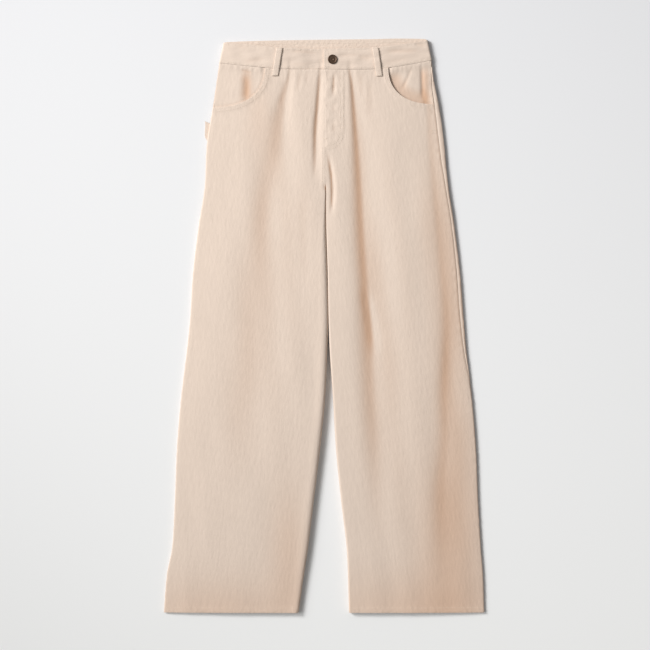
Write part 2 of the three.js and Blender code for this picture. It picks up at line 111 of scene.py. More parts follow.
class Wire:
    """One output of a node. Arithmetic on it adds Math nodes."""

    def __init__(self, graph, socket):
        self.graph = graph
        self.socket = socket

    def math(self, operation, *values):
        return self.graph.node("ShaderNodeMath", dict(enumerate(values)), operation=operation)

    def __add__(self, other):
        return self.math("ADD", self, other)

    def __mul__(self, other):
        return self.math("MULTIPLY", self, other)

    __radd__ = __add__
    __rmul__ = __mul__

    def cosine(self):
        return self.math("COSINE", self)

# %% Shader graphs
class Graph:
    """The nodes of one material."""

    def __init__(self, name):
        self.material = bpy.data.materials.new(name)
        self.material.use_nodes = True
        self.nodes = self.material.node_tree.nodes
        self.links = self.material.node_tree.links
        self.nodes.clear()

    def node(self, kind, inputs=None, output=0, **settings):
        made = self.nodes.new(kind)
        for name, value in settings.items():
            setattr(made, name, value)
        for name, value in (inputs or {}).items():
            if isinstance(value, Wire):
                self.links.new(value.socket, made.inputs[name])
            else:
                made.inputs[name].default_value = value
        return Wire(self, made.outputs[output]) if made.outputs else None

    def noise(self, place, stretch, detail=2.0):
        """Soft noise with so many lumps a metre along each axis."""
        mapped = {"Vector": place, "Scale": stretch, "Rotation": (0, 0, LATTICE_TURN)}
        place = self.node("ShaderNodeMapping", mapped)
        return self.node("ShaderNodeTexNoise", {"Vector": place, "Scale": 1.0, "Detail": detail})

    def grey(self, value):
        return self.node("ShaderNodeCombineColor", dict.fromkeys(("Red", "Green", "Blue"), value))

    def blend(self, how, share, first, second):
        # Its sockets for colours are named as those for numbers are, so they go by index
        inputs = {0: share, 6: first, 7: second}
        return self.node("ShaderNodeMix", inputs, 2, data_type="RGBA", blend_type=how)

    def attribute(self, name):
        return self.node("ShaderNodeAttribute", output="Fac", attribute_name=name)

    def surface(self, **inputs):
        """Ends in a Principled shader. base_color stands for its Base Color, and so on."""
        named = {name.replace("_", " ").title(): value for name, value in inputs.items()}
        named = {name.replace("Ior", "IOR"): value for name, value in named.items()}
        shader = self.node("ShaderNodeBsdfPrincipled", named)
        self.node("ShaderNodeOutputMaterial", {"Surface": shader})
        return self.material

# %% [markdown]
# ## Needlecord
#
# Needlecord is a cotton cloth whose pile stands in narrow ribs, called wales, here a little under
# 2 mm apart. They run up and down the panels and along the waistband. Each piece carries a UV map
# named `cloth`, in metres across and along its wales, so the ribs follow the cloth round every
# fold. Nodes draw them, which need no image and stay sharp. The pile also shades in long faint
# streaks. Shade is painted into the colour, darker and warmer: down in a fold, where light has
# bounced from cloth to cloth, on the flank of a fold turned from the light, and in patches, most
# of them towards the hems. The attribute `fold` carries this painted shade, most where a point
# lies deep in a fold, and `pucker` says where stitching gathers the cloth. The wrong side is a
# plain weave with no pile.

# %% Needlecord
WALE = 1.85 * MM
CORD = (0.655, 0.538, 0.450, 1.0)
CORD_IN_PAINTED_SHADE = (0.565, 0.370, 0.255, 1.0)
SHEEN = (1.0, 0.93, 0.85, 1.0)


def needlecord(name):
    graph = Graph(name)
    cloth = graph.node("ShaderNodeUVMap", uv_map="cloth")
    across = graph.node("ShaderNodeSeparateXYZ", {"Vector": cloth})
    wander = graph.noise(cloth, (20, 14, 1)) * (0.3 * WALE)
    wale = ((across + wander) * (math.tau / WALE)).cosine() * 0.5 + 0.5
    pile = graph.noise(cloth, (900, 500, 1), 3.0)
    streak = graph.noise(cloth, (150, 22, 1), 3.0)
    slub = graph.noise(cloth, (190, 70, 1), 3.0)
    blotch = graph.noise(cloth, (14, 7, 1))
    crumple = graph.noise(cloth, (210, 170, 1))
    shade = 0.87 + wale * 0.03 + streak * 0.09 + blotch * 0.04 + pile * 0.07
    # Painted shade: the colour turns darker and warmer where the attribute fold is high.
    base = graph.blend("MIX", graph.attribute("fold"), CORD, CORD_IN_PAINTED_SHADE)
    base = graph.blend("MULTIPLY", 1.0, base, graph.grey(shade))
    height = wale * 0.1 + slub * 0.48 + crumple * graph.attribute("pucker") * 0.9
    normal = graph.node("ShaderNodeBump", {"Height": height, "Distance": 1 * MM})
    return graph.surface(base_color=base, roughness=0.92, normal=normal, sheen_weight=0.12,
                         sheen_roughness=0.5, sheen_tint=SHEEN, specular_ior_level=0.15)


def wrong_side(name):
    graph = Graph(name)
    cloth = graph.node("ShaderNodeUVMap", uv_map="cloth")
    weave = graph.noise(cloth, (1400, 1400, 1), 2.0)
    slub = graph.noise(cloth, (300, 30, 1))
    shade = 0.84 + weave * 0.10 + slub * 0.10
    base = graph.blend("MULTIPLY", 1.0, CORD, graph.grey(shade))
    normal = graph.node("ShaderNodeBump", {"Height": weave, "Distance": 0.3 * MM})
    return graph.surface(base_color=base, roughness=0.9, normal=normal, specular_ior_level=0.15)


cord = needlecord("needlecord")
cord_inside = wrong_side("needlecord_wrong_side")
print("needlecord has", round(10 * MM / WALE, 1), "wales to the centimetre")

# %% [markdown]
# ## Smooth tables
#
# A tailor draws a pattern through a few measured points. The tables here work in the same way: a
# row for each height, a column for each measurement, and a smooth curve through every column.

# %% Smooth tables
def mix(first, second, share):
    return first + (second - first) * share


def ease(start, end, value):
    share = np.clip((value - start) / (end - start), 0, 1)
    return share * share * (3 - 2 * share)


def bell(distance, half):
    """1 in the middle, fading smoothly to either side."""
    return np.exp(-((distance / half) ** 2))


def stack(*columns):
    """Puts numbers or arrays side by side, so that each row is a point."""
    return np.stack(np.broadcast_arrays(*columns), -1)


def smooth_column(at, value):
    last = len(at) - 1
    before = np.maximum(np.arange(last + 1) - 1, 0)
    after = np.minimum(np.arange(last + 1) + 1, last)
    slope = (value[after] - value[before]) / (at[after] - at[before])

    def curve(where):
        t = np.clip(where, at[0], at[-1])
        k = np.clip(np.searchsorted(at, t, side="right") - 1, 0, last - 1)
        step = at[k + 1] - at[k]
        share = (t - at[k]) / step
        bend = share * (1 - share) * step * ((1 - share) * slope[k] - share * slope[k + 1])
        return mix(value[k], value[k + 1], share * share * (3 - 2 * share)) + bend

    return curve


def table(names, *rows):
    """Smooth curves through the rows, one for each column that is named after the first."""
    at, *columns = np.array(rows, float).T
    curves = (smooth_column(at, column) for column in columns)
    return SimpleNamespace(**dict(zip(names.split()[1:], curves)))


squares = table("x square", (0, 0), (1, 1), (2, 4), (3, 9))
print("a smooth table of squares puts 1.5 squared at", float(squares.square(1.5)))

# %% [markdown]
# ## The form of the garment
#
# These are the sizes of the CAD solids, because each piece has to lie where its solid does. Only
# some heights are lower or fuller, as those of soft cloth. The legs are tubes: a front and a back
# joined along an outer and an inner fold. Above the crotch the inner folds give way to the centre
# seams.

# %% Sizes of the garment
CLOTH = 1.4
BAND = 2.6                      # two layers: the waistband, a turned edge or a hem
GAP = 0.3                       # between two pieces
HEM_Y = -518
CROTCH_Y = 252
FOLD_RADIUS = 6
SWELL_REACH = 220               # how far in from its outer edge a leg swells
INSEAM_REACH = 30               # and from its inner one
SEAT_LIFT = 2.9
SEAT_START_Y = 170
SEAT_FULL_Y = 222
SIDE_X = 192
SEAM_TURNS = 0.018              # half the gap at a seam, in quarter turns round a fold
FLAT_TURNS = 1.8                # how far round a panel's outer fold runs
QUARTER = math.pi / 2

# The inseam folds stand higher than the frame's, by `puffed`. The right one is a wider roll and
# the left one is sharper. The pocket mouths gape by `gape`. Only the left side seam is pulled
# forward.
RIGHT = SimpleNamespace(
    name="right", sign=-1, puffed=2.4, roll=2.2, sharp=1.0, gape=0.5, forward=0)
LEFT = SimpleNamespace(
    name="left", sign=1, puffed=0.4, roll=1.0, sharp=1.7, gape=2.8, forward=1)
SIDES = (RIGHT, LEFT)
print("a turned edge is", BAND, "mm thick, and one layer is", CLOTH)

# %% Tables of the form
EDGES = table(
    "y right_outer right_inner left_inner left_outer",
    (-518, -292.5, -48.6, 42.5, 287.5),
    (-450, -287.2, -38.8, 40.5, 285.3),
    (-400, -277.6, -31.2, 38.0, 281.4),
    (-314, -272.7, -20.7, 27.9, 276.3),
    (-224, -269.1, -9.9, 18.9, 272.7),
    (-134, -261.9, -0.9, 13.5, 265.5),
    (-44, -251.1, 3.2, 7.4, 254.7),
    (15, -245.0, 4.8, 5.1, 249.9),
    (92, -240.3, 3.3, 3.6, 243.9),
    (182, -229.5, 0.85, 1.15, 233.1),
    (252, -218.7, 0.85, 1.15, 222.3),
    (326, -215.1, 0.85, 1.15, 215.1),
    (394, -204.3, 0.85, 1.15, 206.1),
    (442, -197.1, 0.85, 1.15, 196.3),
    (480, -191.6, 0.85, 1.15, 191.7),
)
LOFT = table(
    "y middle outer_edge inner_edge inseam_radius",
    (-518, 13.5, 4.2, 4.8, 5),
    (-400, 16, 4.4, 5.6, 6),
    (-200, 17.5, 4.6, 6.3, 6.3),
    (0, 17.5, 4.6, 6.5, 6),
    (150, 17.5, 4.8, 6.5, 5),
    (252, 17, 5.8, 6.5, 4),
    (350, 17, 6.2, 6.8, 5),
    (480, 17, 7, 7, 6),
)
# The soft cloth settles lower than the frame's stiff walls by so much in the legs and in the
# body, and the middles of its outer folds are pressed lower by so much.
SETTLED = 3
SETTLED_BODY = 4.5
PRESSED = 1.6
PRESSED_BODY = 2.6
# How far forward a pulled side seam lies, in quarter turns round the fold.
SIDE_SEAM = table(
    "y turns",
    (-150, 0),
    (-60, 0.75),
    (30, 1.1),
    (150, 0.95),
    (250, 0.95),
    (310, 1.35),
    (394, 1.3),
    (440, 0.9),
    (478, 0),
)
ACROSS = table(
    "x waist_seam band_top yoke back_seam back_top",
    (-192, 474, 511, 436, 474, 512),
    (-136, 468, 507, 430, 475, 514.4),
    (-80, 463, 501, 420, 476, 515.8),
    (0, 462, 499.5, 408, 477, 517),
    (84, 462.4, 501.8, 420, 478, 518),
    (134, 468, 507, 432, 479, 519),
    (192, 479, 515.5, 441, 479, 518),
)
fly_band = float(ACROSS.band_top(0) - ACROSS.waist_seam(0))
print("the waistband is", round(fly_band, 1), "mm tall at the fly")

# %% Edges and dips
def outer_x(side, y):
    return getattr(EDGES, f"{side.name}_outer")(y)


def inner_x(side, y):
    return getattr(EDGES, f"{side.name}_inner")(y)


def cleft(y):
    """1 down the legs and 0 in the body: whether the cloth dips to an inseam."""
    return 1 - ease(CROTCH_Y - 25, CROTCH_Y + 30, y)


def drop(inward, reach):
    """How near the cloth is to an edge that it dips to: 1 there, and 0 from its reach on."""
    return (1 - np.clip(inward / reach, 0, 1)) ** 3


def back_height(y):
    return SEAT_LIFT * ease(SEAT_START_Y, SEAT_FULL_Y, y)


for side in SIDES:
    hem_width = abs(outer_x(side, HEM_Y) - inner_x(side, HEM_Y))
    print(f"the {side.name} hem is {hem_width:.0f} mm across")

# %% [markdown]
# ## Folds and creases
#
# Cloth this wide can't lie smooth. It falls into a few long folds that hang from the waist, and
# many short creases round the fly, the crotch and the pockets. A long fold is a table: its middle
# at each height, how far it spreads to either side, and its depth. A short crease is one row from
# end to end, with a bow sideways, half its width, and its depth. A cloth simulation would find
# folds of its own, but a table lays each one where this garment has it.

# %% Folds and creases
FOLDS = {
    "right thigh": table(
        "y x left right depth",
        (-290, -150, 46, 50, 0),
        (-175, -146, 46, 50, 1.6),
        (-100, -134, 44, 50, 2.4),
        (0, -121, 42, 54, 2.9),
        (150, -106, 36, 46, 3.1),
        (207, -100, 32, 42, 3.2),
        (297, -87, 27, 32, 3.1),
        (370, -77, 21, 16, 2.6),
        (401, -72, 13, 10, 2.4),
        (440, -66, 5, 8, 1.8),
        (460, -64, 3, 6, 1.2),
        (488, -64, 3, 6, 0),
    ),
    "fly flank": table(
        "y x left right depth",
        (262, -19, 5, 9, 0),
        (300, -17.5, 5, 8, 1.9),
        (352, -16.5, 5, 8, 3.0),
        (406, -12.5, 4.5, 7, 2.8),
        (442, -10, 4, 6, 2.2),
        (460, -9, 3, 4, 1.2),
        (484, -9, 3, 4, 0),
    ),
    "left thigh": table(
        "y x left right depth",
        (-420, 104, 30, 50, 0),
        (-260, 98, 28, 50, 1.9),
        (-152, 93, 26, 50, 3.4),
        (-44, 88, 23, 50, 4.4),
        (50, 81, 20, 48, 4.8),
        (150, 73, 18, 44, 4.9),
        (262, 66, 15, 34, 4.6),
        (343, 58.5, 10, 26, 3.9),
        (400, 53, 7, 18, 3.4),
        (440, 48, 4, 12, 2.6),
        (460, 44, 3, 8, 1.4),
        (488, 43, 3, 8, 0),
    ),
    "left outside": table(
        "y x left right depth",
        (-470, 218, 26, 40, 0),
        (-314, 218, 24, 38, 2.9),
        (-206, 223, 19, 34, 3.8),
        (-116, 221, 17, 28, 3.9),
        (10, 224, 14, 22, 3.2),
        (137, 212, 11, 20, 2.4),
        (240, 201, 9, 17, 2.2),
        (330, 193, 8, 14, 2.2),
        (401, 188, 6, 10, 1.8),
        (440, 186, 5, 9, 1.0),
        (462, 186, 5, 8, 0),
    ),
}

CREASES = (
    # from x, from y, to x, to y, bow, half, depth
    (17.5, 458, 15.0, 412, -1.0, 2.6, 1.5),
    (15.5, 402, 14.8, 384, 0.0, 2.2, 0.5),
    (15.8, 372, 14.0, 348, 0.5, 2.6, 0.6),
    (3.6, 314, 9.6, 196, 6.5, 3.6, 2.3),
    (-2.6, 257, 1.4, 243, 0, 1.8, 1.2),
    (-36.0, 262, -28.0, 60, -3.0, 11.0, 0.6),
    (66.0, 76, 90.0, -60, 4.0, 9.0, 0.7),
    (-75.0, 452, -84.0, 392, 3.0, 6.0, 0.5),
    (-46.0, 458, -52.0, 420, 2.0, 3.5, 0.6),
    (-33.0, 459, -34.0, 436, 0.0, 2.6, 0.4),
    (28.0, 460, 27.0, 440, 0.0, 2.4, 0.5),
    (66.0, 458, 70.0, 410, -2.0, 5.0, 0.6),
    (78.0, 446, 82.0, 372, 2.0, 8.0, 0.5),
)
print("the front has", len(FOLDS), "long folds and", len(CREASES), "short creases")

# %% Depth of folds and creases
def fold_depth(x, y):
    total = 0
    for fold in FOLDS.values():
        away = x - fold.x(y)
        reach = np.where(away < 0, fold.left(y), fold.right(y))
        total = total + np.maximum(fold.depth(y), 0) * bell(away, reach)
    return total


def crease_depth(creases, x, y):
    total = np.zeros(np.broadcast(x, y).shape)
    for from_x, from_y, to_x, to_y, bow, half, depth in creases:
        run = math.hypot(to_x - from_x, to_y - from_y)
        ux, uy = (to_x - from_x) / run, (to_y - from_y) / run
        along = ((x - from_x) * ux + (y - from_y) * uy) / run
        aside = (y - from_y) * ux - (x - from_x) * uy - bow * 4 * along * (1 - along)
        ends = ease(-0.05, 0.3, along) * (1 - ease(0.7, 1.05, along))
        total += depth * ends * bell(aside, half)
    return total


def waves(seed, pitch, count=4):
    """A smooth, uneven wave along one length, between about -1 and 1."""
    draw = np.random.default_rng(seed)
    turns = math.tau / (pitch * draw.uniform(0.7, 1.6, count))
    starts = draw.uniform(0, math.tau, count)
    pairs = list(zip(turns, starts))
    return lambda t: sum(np.sin(turn * t + start) for turn, start in pairs) / math.sqrt(count)


def dapple(seed, pitch_x, pitch_y, count=6):
    """Smooth, uneven bumps over a surface, between about -1 and 1."""
    draw = np.random.default_rng(seed)
    angles = draw.uniform(0, math.pi, count)
    starts = draw.uniform(0, math.tau, count)
    stretch = draw.uniform(0.7, 1.5, count)

    def height(x, y):
        total = 0
        for angle, start, by in zip(angles, starts, stretch):
            turn = math.cos(angle) * x / (pitch_x * by) + math.sin(angle) * y / (pitch_y * by)
            total = total + np.sin(math.tau * turn + start)
        return total / math.sqrt(count)

    return height


print("the left thigh's fold is", round(float(fold_depth(73, 150)), 1), "mm deep")

# %% [markdown]
# ## Seams as relief
#
# Where cloth is turned under and stitched down it is two or three layers thick, so it stands a
# little proud. The thread lies in a furrow of its own and draws the cloth into puckers. These
# small heights are added to the form: at the pocket edges, the fly, the centre seam, the waist and
# the hems. A bump map could draw them too, but real heights catch the low light better.

# %% Seams as relief
POCKETS = {
    "right": SimpleNamespace(x=-201, y=462, wide=92, deep=68, fullness=2.2),
    "left": SimpleNamespace(x=197, y=468, wide=84, deep=68, fullness=2.4),
}
FLY = SimpleNamespace(x=0, y=352, wide=32.8, deep=34, fullness=2.2)
POCKET_ROWS = (2.4, 7.2)        # topstitching, so far outside the mouth
FLY_ROWS = (0, -5.8)            # the same for the outline of the fly
HEM_ROW = 9
CROTCH_ROWS = (-0.8, -5.8)
TURNED_EDGE = 9
undulation = dapple(3, 52, 150)
fly_bumps = dapple(7, 17, 15)
waist_gathers = waves(11, 11)
pocket_gathers = waves(13, 12)
hem_ripples = waves(19, 9)


def oval_reach(oval, sign, x, y):
    """How far a point lies outside a quarter oval, in millimetres, and below 0 inside it."""
    out, down = np.maximum(sign * (oval.x - x), 0), np.maximum(oval.y - y, 0)
    power = oval.fullness
    size = ((out / oval.wide) ** power + (down / oval.deep) ** power) ** (1 / power)
    inward = np.hypot(out, down) / np.maximum(size, 1e-6)
    return np.where(size > 1e-6, (size - 1) * inward, -min(oval.wide, oval.deep))


def mouth_reach(side, x, y):
    return oval_reach(POCKETS[side.name], side.sign, x, y)


def fly_reach(x, y):
    return oval_reach(FLY, -1, x, y)


def furrow(distance, half=1.5):
    return bell(distance, half)

# %% Relief and height of the front
def front_relief(side, x, y):
    relief = 0.3 * undulation(x, y) * ease(6, 40, np.abs(x - outer_x(side, y)))
    relief -= crease_depth(CREASES, x, y)
    # The pocket mouth: its turned edge, its two furrows and the puckers beside them
    reach = mouth_reach(side, x, y)
    relief += 0.75 * (1 - ease(TURNED_EDGE - 3, TURNED_EDGE + 2.5, reach))
    relief -= 0.14 * sum(furrow(reach - row) for row in POCKET_ROWS)
    relief += 0.16 * pocket_gathers(x + y) * bell(reach - TURNED_EDGE, 6)
    # The fly, and the felled centre seam below it
    fly = fly_reach(x, y)
    on_fly = ease(-4.5, 2.5, x) * (1 - ease(-1, 2.5, fly))
    relief += on_fly * (0.3 + 0.28 * fly_bumps(x, y))
    relief -= 0.16 * sum(furrow(fly - row) for row in FLY_ROWS) * ease(3, 7, x)
    felled = ease(-9, -7.5, x) * (1 - ease(-4, 0, x)) * (1 - ease(318, 330, y)) * ease(250, 256, y)
    relief += 0.25 * felled
    # The cloth gathered into the waistband
    from_waist = ACROSS.waist_seam(x) - y
    relief += 0.3 * waist_gathers(x) * np.exp(-from_waist / 9) * ease(1, 5, from_waist)
    relief -= 0.15 * (1 - ease(0, 3, from_waist))
    # The hem: its step, its furrow and the ripples beside it
    from_hem = y - HEM_Y
    relief += 0.5 * (1 - ease(HEM_ROW, HEM_ROW + 2.5, from_hem)) - 0.3 * furrow(from_hem - HEM_ROW)
    return relief + 0.3 * hem_ripples(x + 0.8 * y) * bell(from_hem - HEM_ROW + 1, 5)


def body_share(y):
    """0 down the legs and 1 in the body."""
    return ease(CROTCH_Y - 60, CROTCH_Y + 60, y)


def outer_edge_z(y):
    return LOFT.outer_edge(y) - mix(PRESSED, PRESSED_BODY, body_share(y))


def inner_edge_z(side, y):
    return LOFT.inner_edge(y) + side.puffed * (1 - ease(CROTCH_Y - 140, CROTCH_Y - 20, y))


def front_form(side, x, y):
    """The height of the front, without its small relief and before it turns down at its edges."""
    middle = LOFT.middle(y) - mix(SETTLED, SETTLED_BODY, body_share(y))
    to_outer = drop(np.abs(x - outer_x(side, y)), SWELL_REACH)
    to_inner = drop(np.abs(x - inner_x(side, y)), INSEAM_REACH) * cleft(y)
    outer_dip = (middle - 2 * outer_edge_z(y)) * to_outer
    inner_dip = (middle - 2 * inner_edge_z(side, y)) * to_inner
    return middle - (outer_dip + inner_dip) - fold_depth(x, y) * (1 - to_outer)


def front_height(side, x, y):
    return front_form(side, x, y) + front_relief(side, x, y)


print("the right thigh lies", round(float(front_height(RIGHT, -120, 0)), 1), "mm high")

# %% [markdown]
# ## Creases of the hidden side
#
# The back lies flat on the surface, and the surface presses it smooth, but not quite: shallow
# hollows run down the seat and behind the knees, where the cloth bridges clear of the surface.

# %% Creases of the hidden side
BACK_CREASES = (
    # from x, from y, to x, to y, bow, half, depth
    (-52, 380, -66, 170, 6, 13, 2.2),
    (64, 390, 74, 150, -5, 12, 2.4),
    (-150, 190, -168, -60, 8, 18, 2.0),
    (158, 170, 172, -110, -7, 17, 2.2),
    (-120, 20, -205, -30, 6, 11, 1.5),
    (-70, -20, -160, -66, -5, 10, 1.4),
    (92, 6, 190, -40, 7, 12, 1.6),
    (70, -52, 150, -92, -5, 9, 1.3),
    (-96, -190, -120, -440, 6, 20, 1.8),
    (128, -210, 140, -450, -6, 18, 1.7),
    (-12, 246, -62, 196, 4, 8, 1.8),
    (12, 246, 58, 200, -4, 8, 1.7),
)
back_undulation = dapple(29, 60, 120)


def back_relief(side, x, y):
    """How far the cloth of the back stands clear of the surface that it lies on."""
    from_inner = np.abs(x - inner_x(side, y)) + 40 * (y > CROTCH_Y)
    inward = np.minimum(np.abs(x - outer_x(side, y)), from_inner)
    lift = crease_depth(BACK_CREASES, x, y) + 0.25 * np.maximum(1 + back_undulation(x, y), 0)
    return lift * ease(4, 30, inward) * ease(0, 26, y - HEM_Y)


print("the back has", len(BACK_CREASES), "creases")

# %% [markdown]
# ## Tubes of cloth
#
# A panel is one grid. Its columns run round the tube of a leg: 0 to 1 round the fold at the outer
# edge, 1 to 2 across the flat, and 2 to 3 round the fold at the inner edge. Its rows run from the
# hem up, level down the leg, and in the body they bend by degrees into the curve of the waist.

# %% Tubes of cloth
CENTRE_X = 1.0                  # where the centre seams of the body lie
CENTRE_ROLL = 0.45              # the share of the inseam's radius that the folds there have
side_gathers = waves(17, 16)


def turned(turns, radius, sharp=1.8):
    """How far in, and how far up to its flat, a fold has come after some quarter turns."""
    quarter = np.minimum(np.abs(turns), 1) * QUARTER
    past = np.maximum(np.abs(turns) - 1, 0) * QUARTER
    return radius * (1 - np.cos(quarter) + past), np.sin(np.minimum(sharp * quarter, QUARTER))


def side_seam_relief(y, from_seam):
    """The cloth rolls in at the side seam, and puckers beside it."""
    return 0.2 * side_gathers(y) * bell(from_seam, 6) - 0.5 * furrow(from_seam, 1.6)


def body_row(side, side_y, x, top_edge):
    """The height at x of the row that meets the outer edge at side_y."""
    share = (side_y - CROTCH_Y) / (top_edge(side.sign * SIDE_X) - CROTCH_Y)
    return np.where(side_y <= CROTCH_Y, side_y, mix(CROTCH_Y, top_edge(x), share))

# %% Points of the tubes
def level(side_y, x):
    """The height of a row that runs straight across."""
    return side_y


def tube(side, face, position, side_y, row):
    """Points on a panel's outer face, and their places on the flat cloth, in millimetres."""
    sign = 1 if face == "front" else -1
    # The edges of the leg's outline, and the size of its inner fold
    outer = outer_x(side, side_y)
    inner = mix(inner_x(side, side_y), CENTRE_X, ease(CROTCH_Y, CROTCH_Y + 20, side_y))
    rolled = mix(side.roll, CENTRE_ROLL, ease(CROTCH_Y - 150, CROTCH_Y, side_y))
    radius = LOFT.inseam_radius(side_y) * rolled
    # How far each point has come round the outer fold and round the inner one
    first_turn = side.forward * SIDE_SEAM.turns(side_y) + sign * SEAM_TURNS
    turns = mix(first_turn, sign * FLAT_TURNS, np.clip(position, 0, 1))
    last_turn = mix(1, SEAM_TURNS, np.clip(position - 2, 0, 1))
    outer_in, outer_lift = turned(turns, FOLD_RADIUS)
    inner_in, inner_lift = turned(last_turn, radius, side.sharp)
    # Where that puts it across the leg
    flat_from = outer - side.sign * turned(FLAT_TURNS, FOLD_RADIUS)[0]
    flat_to = inner + side.sign * radius
    on_outer, on_inner = position < 1, position > 2
    flat_x = mix(flat_from, flat_to, position - 1)
    fold_x = [outer - side.sign * outer_in, inner + side.sign * inner_in]
    x = np.select([on_outer, on_inner], fold_x, flat_x)
    y = row(side_y, x)
    # How high it lies: the folds rise from the edge's height to that of the flat
    on_front = np.where(on_outer, turns > 0, face == "front")
    flat_z = np.where(on_front, front_height(side, x, y), back_height(y) + back_relief(side, x, y))
    centre = mix(inner_edge_z(side, y), flat_z, ease(CROTCH_Y - 10, CROTCH_Y + 6, y))
    fold_z = [mix(outer_edge_z(y), flat_z, outer_lift), mix(centre, flat_z, inner_lift)]
    z = np.select([on_outer, on_inner], fold_z, flat_z)
    # The dip of the side seam
    from_seam = np.abs(turns - first_turn) * QUARTER * FOLD_RADIUS
    dip = side_seam_relief(side_y, from_seam) * on_outer
    angle = np.clip(turns, -1, 1) * QUARTER
    x = x + side.sign * dip * np.cos(angle)
    z = z + dip * np.sin(angle)
    # Its place across the flat cloth
    outer_run = flat_from + side.sign * (FLAT_TURNS - sign * turns) * QUARTER * FOLD_RADIUS
    inner_run = flat_to - side.sign * (1 - last_turn) * QUARTER * radius
    middle = (outer + inner) / 2
    across = np.select([on_outer, on_inner], [outer_run, inner_run], flat_x) - middle
    return stack(x, y, z), stack(across, y)


_, cloth = tube(RIGHT, "front", np.array([0.0, 3.0]), np.full(2, HEM_Y), level)
front_width = float(np.ptp(cloth[:, 0]))
print("round both folds, the right front is", round(front_width), "mm wide at its hem")

# %% [markdown]
# ## Making a sheet
#
# Each sheet starts as a flat grid from bmesh, and one function moves all of its points at once.
# The Solidify modifier then gives the cloth its thickness, inwards, so that the outer face stays
# where the frame has it, and a small Bevel rounds the cut edges. A turned edge is thicker than the
# rest of its panel, so a vertex group says where.

# %% Making a sheet
def steps(*stretches):
    """A reader that spreads a share of 0 to 1 over stretches, each (from, to, cells)."""
    ends = np.concatenate([[0], np.cumsum([cells for _, _, cells in stretches])])
    values = [stretches[0][0], *(to for _, to, _ in stretches)]
    return int(ends[-1]), lambda share: np.interp(share * ends[-1], ends, values)


def mesh_of(name, work):
    """A mesh with what was built in bmesh."""
    mesh = bpy.data.meshes.new(name)
    work.to_mesh(mesh)
    work.free()
    return mesh


def read_points(mesh, what="co"):
    flat = np.empty(len(mesh.vertices) * 3)
    mesh.vertices.foreach_get(what, flat)
    return flat.reshape(-1, 3)


def points_of(mesh):
    return read_points(mesh) / MM


def make_sheet(name, columns, rows, place):
    """A grid whose points go where place puts them, given their shares across and up."""
    grid = bmesh.new()
    bmesh.ops.create_grid(grid, x_segments=columns, y_segments=rows, size=0.5)
    mesh = mesh_of(name, grid)
    across, up, _ = read_points(mesh).T + 0.5
    points, cloth = place(across, up)
    mesh.vertices.foreach_set("co", (points * MM).ravel())
    corners = np.empty(len(mesh.loops), int)
    mesh.loops.foreach_get("vertex_index", corners)
    cloth_map = mesh.uv_layers[0] if mesh.uv_layers else mesh.uv_layers.new()
    cloth_map.name = "cloth"
    cloth_map.data.foreach_set("uv", (cloth[corners] * MM).ravel())
    return add_object(name, mesh)

# %% Shaping and painting a sheet
def face_away(mesh, inside):
    """Turns the sheet over if most of it faces inside, a point in the garment, in millimetres."""
    middle = Vector(inside) * MM
    facing = sum((face.center - middle).dot(face.normal) * face.area for face in mesh.polygons)
    if facing < 0:
        mesh.flip_normals()


def sink(mesh, depth):
    """Moves the sheet's points inwards, along their normals, by so many millimetres."""
    points = points_of(mesh) - read_points(mesh, "normal") * np.reshape(depth, (-1, 1))
    mesh.vertices.foreach_set("co", (points * MM).ravel())


def paint(mesh, name, values):
    layer = mesh.attributes.new(name, "FLOAT", "POINT")
    layer.data.foreach_set("value", np.clip(values, 0, 1).astype(np.float32))


def cut_away(mesh, reach):
    """Cuts the sheet along the line where reach is 0, and drops the side where it is below 0."""
    values = reach(*points_of(mesh).T[:2])
    work = bmesh.new()
    work.from_mesh(mesh)
    value = dict(zip(work.verts, values))
    cut = []
    for edge in list(work.edges):
        first, second = (value[vert] for vert in edge.verts)
        if (first < 0) != (second < 0):
            _, vert = bmesh.utils.edge_split(edge, edge.verts[0], first / (first - second))
            value[vert] = 0
            cut.append(vert)
    bmesh.ops.connect_verts(work, verts=cut)
    gone = [face for face in work.faces if sum(value[vert] for vert in face.verts) < 0]
    bmesh.ops.delete(work, geom=gone, context="FACES")
    work.to_mesh(mesh)
    work.free()

# %% Thickness and materials
EDGE_ROUNDING = 0.4


def thicken(piece, thick, thin_share=1.0, weights=None):
    """Gives a sheet its thickness, inwards. weights, 0 to 1, say where it is fully thick."""
    solid = piece.modifiers.new("cloth", "SOLIDIFY")
    solid.thickness = thick * MM
    solid.offset = -1
    solid.use_even_offset = True
    if weights is not None:
        group = piece.vertex_groups.new(name="turned")
        for index in np.flatnonzero(weights > 0.01):
            group.add([int(index)], float(weights[index]), "REPLACE")
        solid.vertex_group = group.name
        solid.thickness_vertex_group = thin_share
    rounding = piece.modifiers.new("rounded edges", "BEVEL")
    rounding.limit_method = "ANGLE"
    rounding.angle_limit = math.radians(50)
    rounding.width = EDGE_ROUNDING * MM
    rounding.segments = 2


def dress(piece, *nodes, materials=(cord, cord_inside), slot="needlecord"):
    """Gives a piece its materials, its body, and the nodes that it stands for; slot is not used.
    """
    for material in materials:
        piece.data.materials.append(material)
    piece.data.polygons.foreach_set("use_smooth", [True] * len(piece.data.polygons))
    if "cloth" in piece.modifiers and len(piece.data.materials) > 1:
        piece.modifiers["cloth"].material_offset = 1
    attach(piece, "root")
    if nodes:
        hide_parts(*nodes)
    print(f"{piece.name}: {len(piece.data.polygons)} faces")
    return piece

# %% [markdown]
# ## Front panels
#
# Each front is one piece of cloth from hem to waist. A pocket mouth is scooped out of its top
# corner: the grid is cut along the curve, and the edge there is turned under, so it is thicker.
# A Boolean would cut it too, but it leaves slivers that show under the low light.

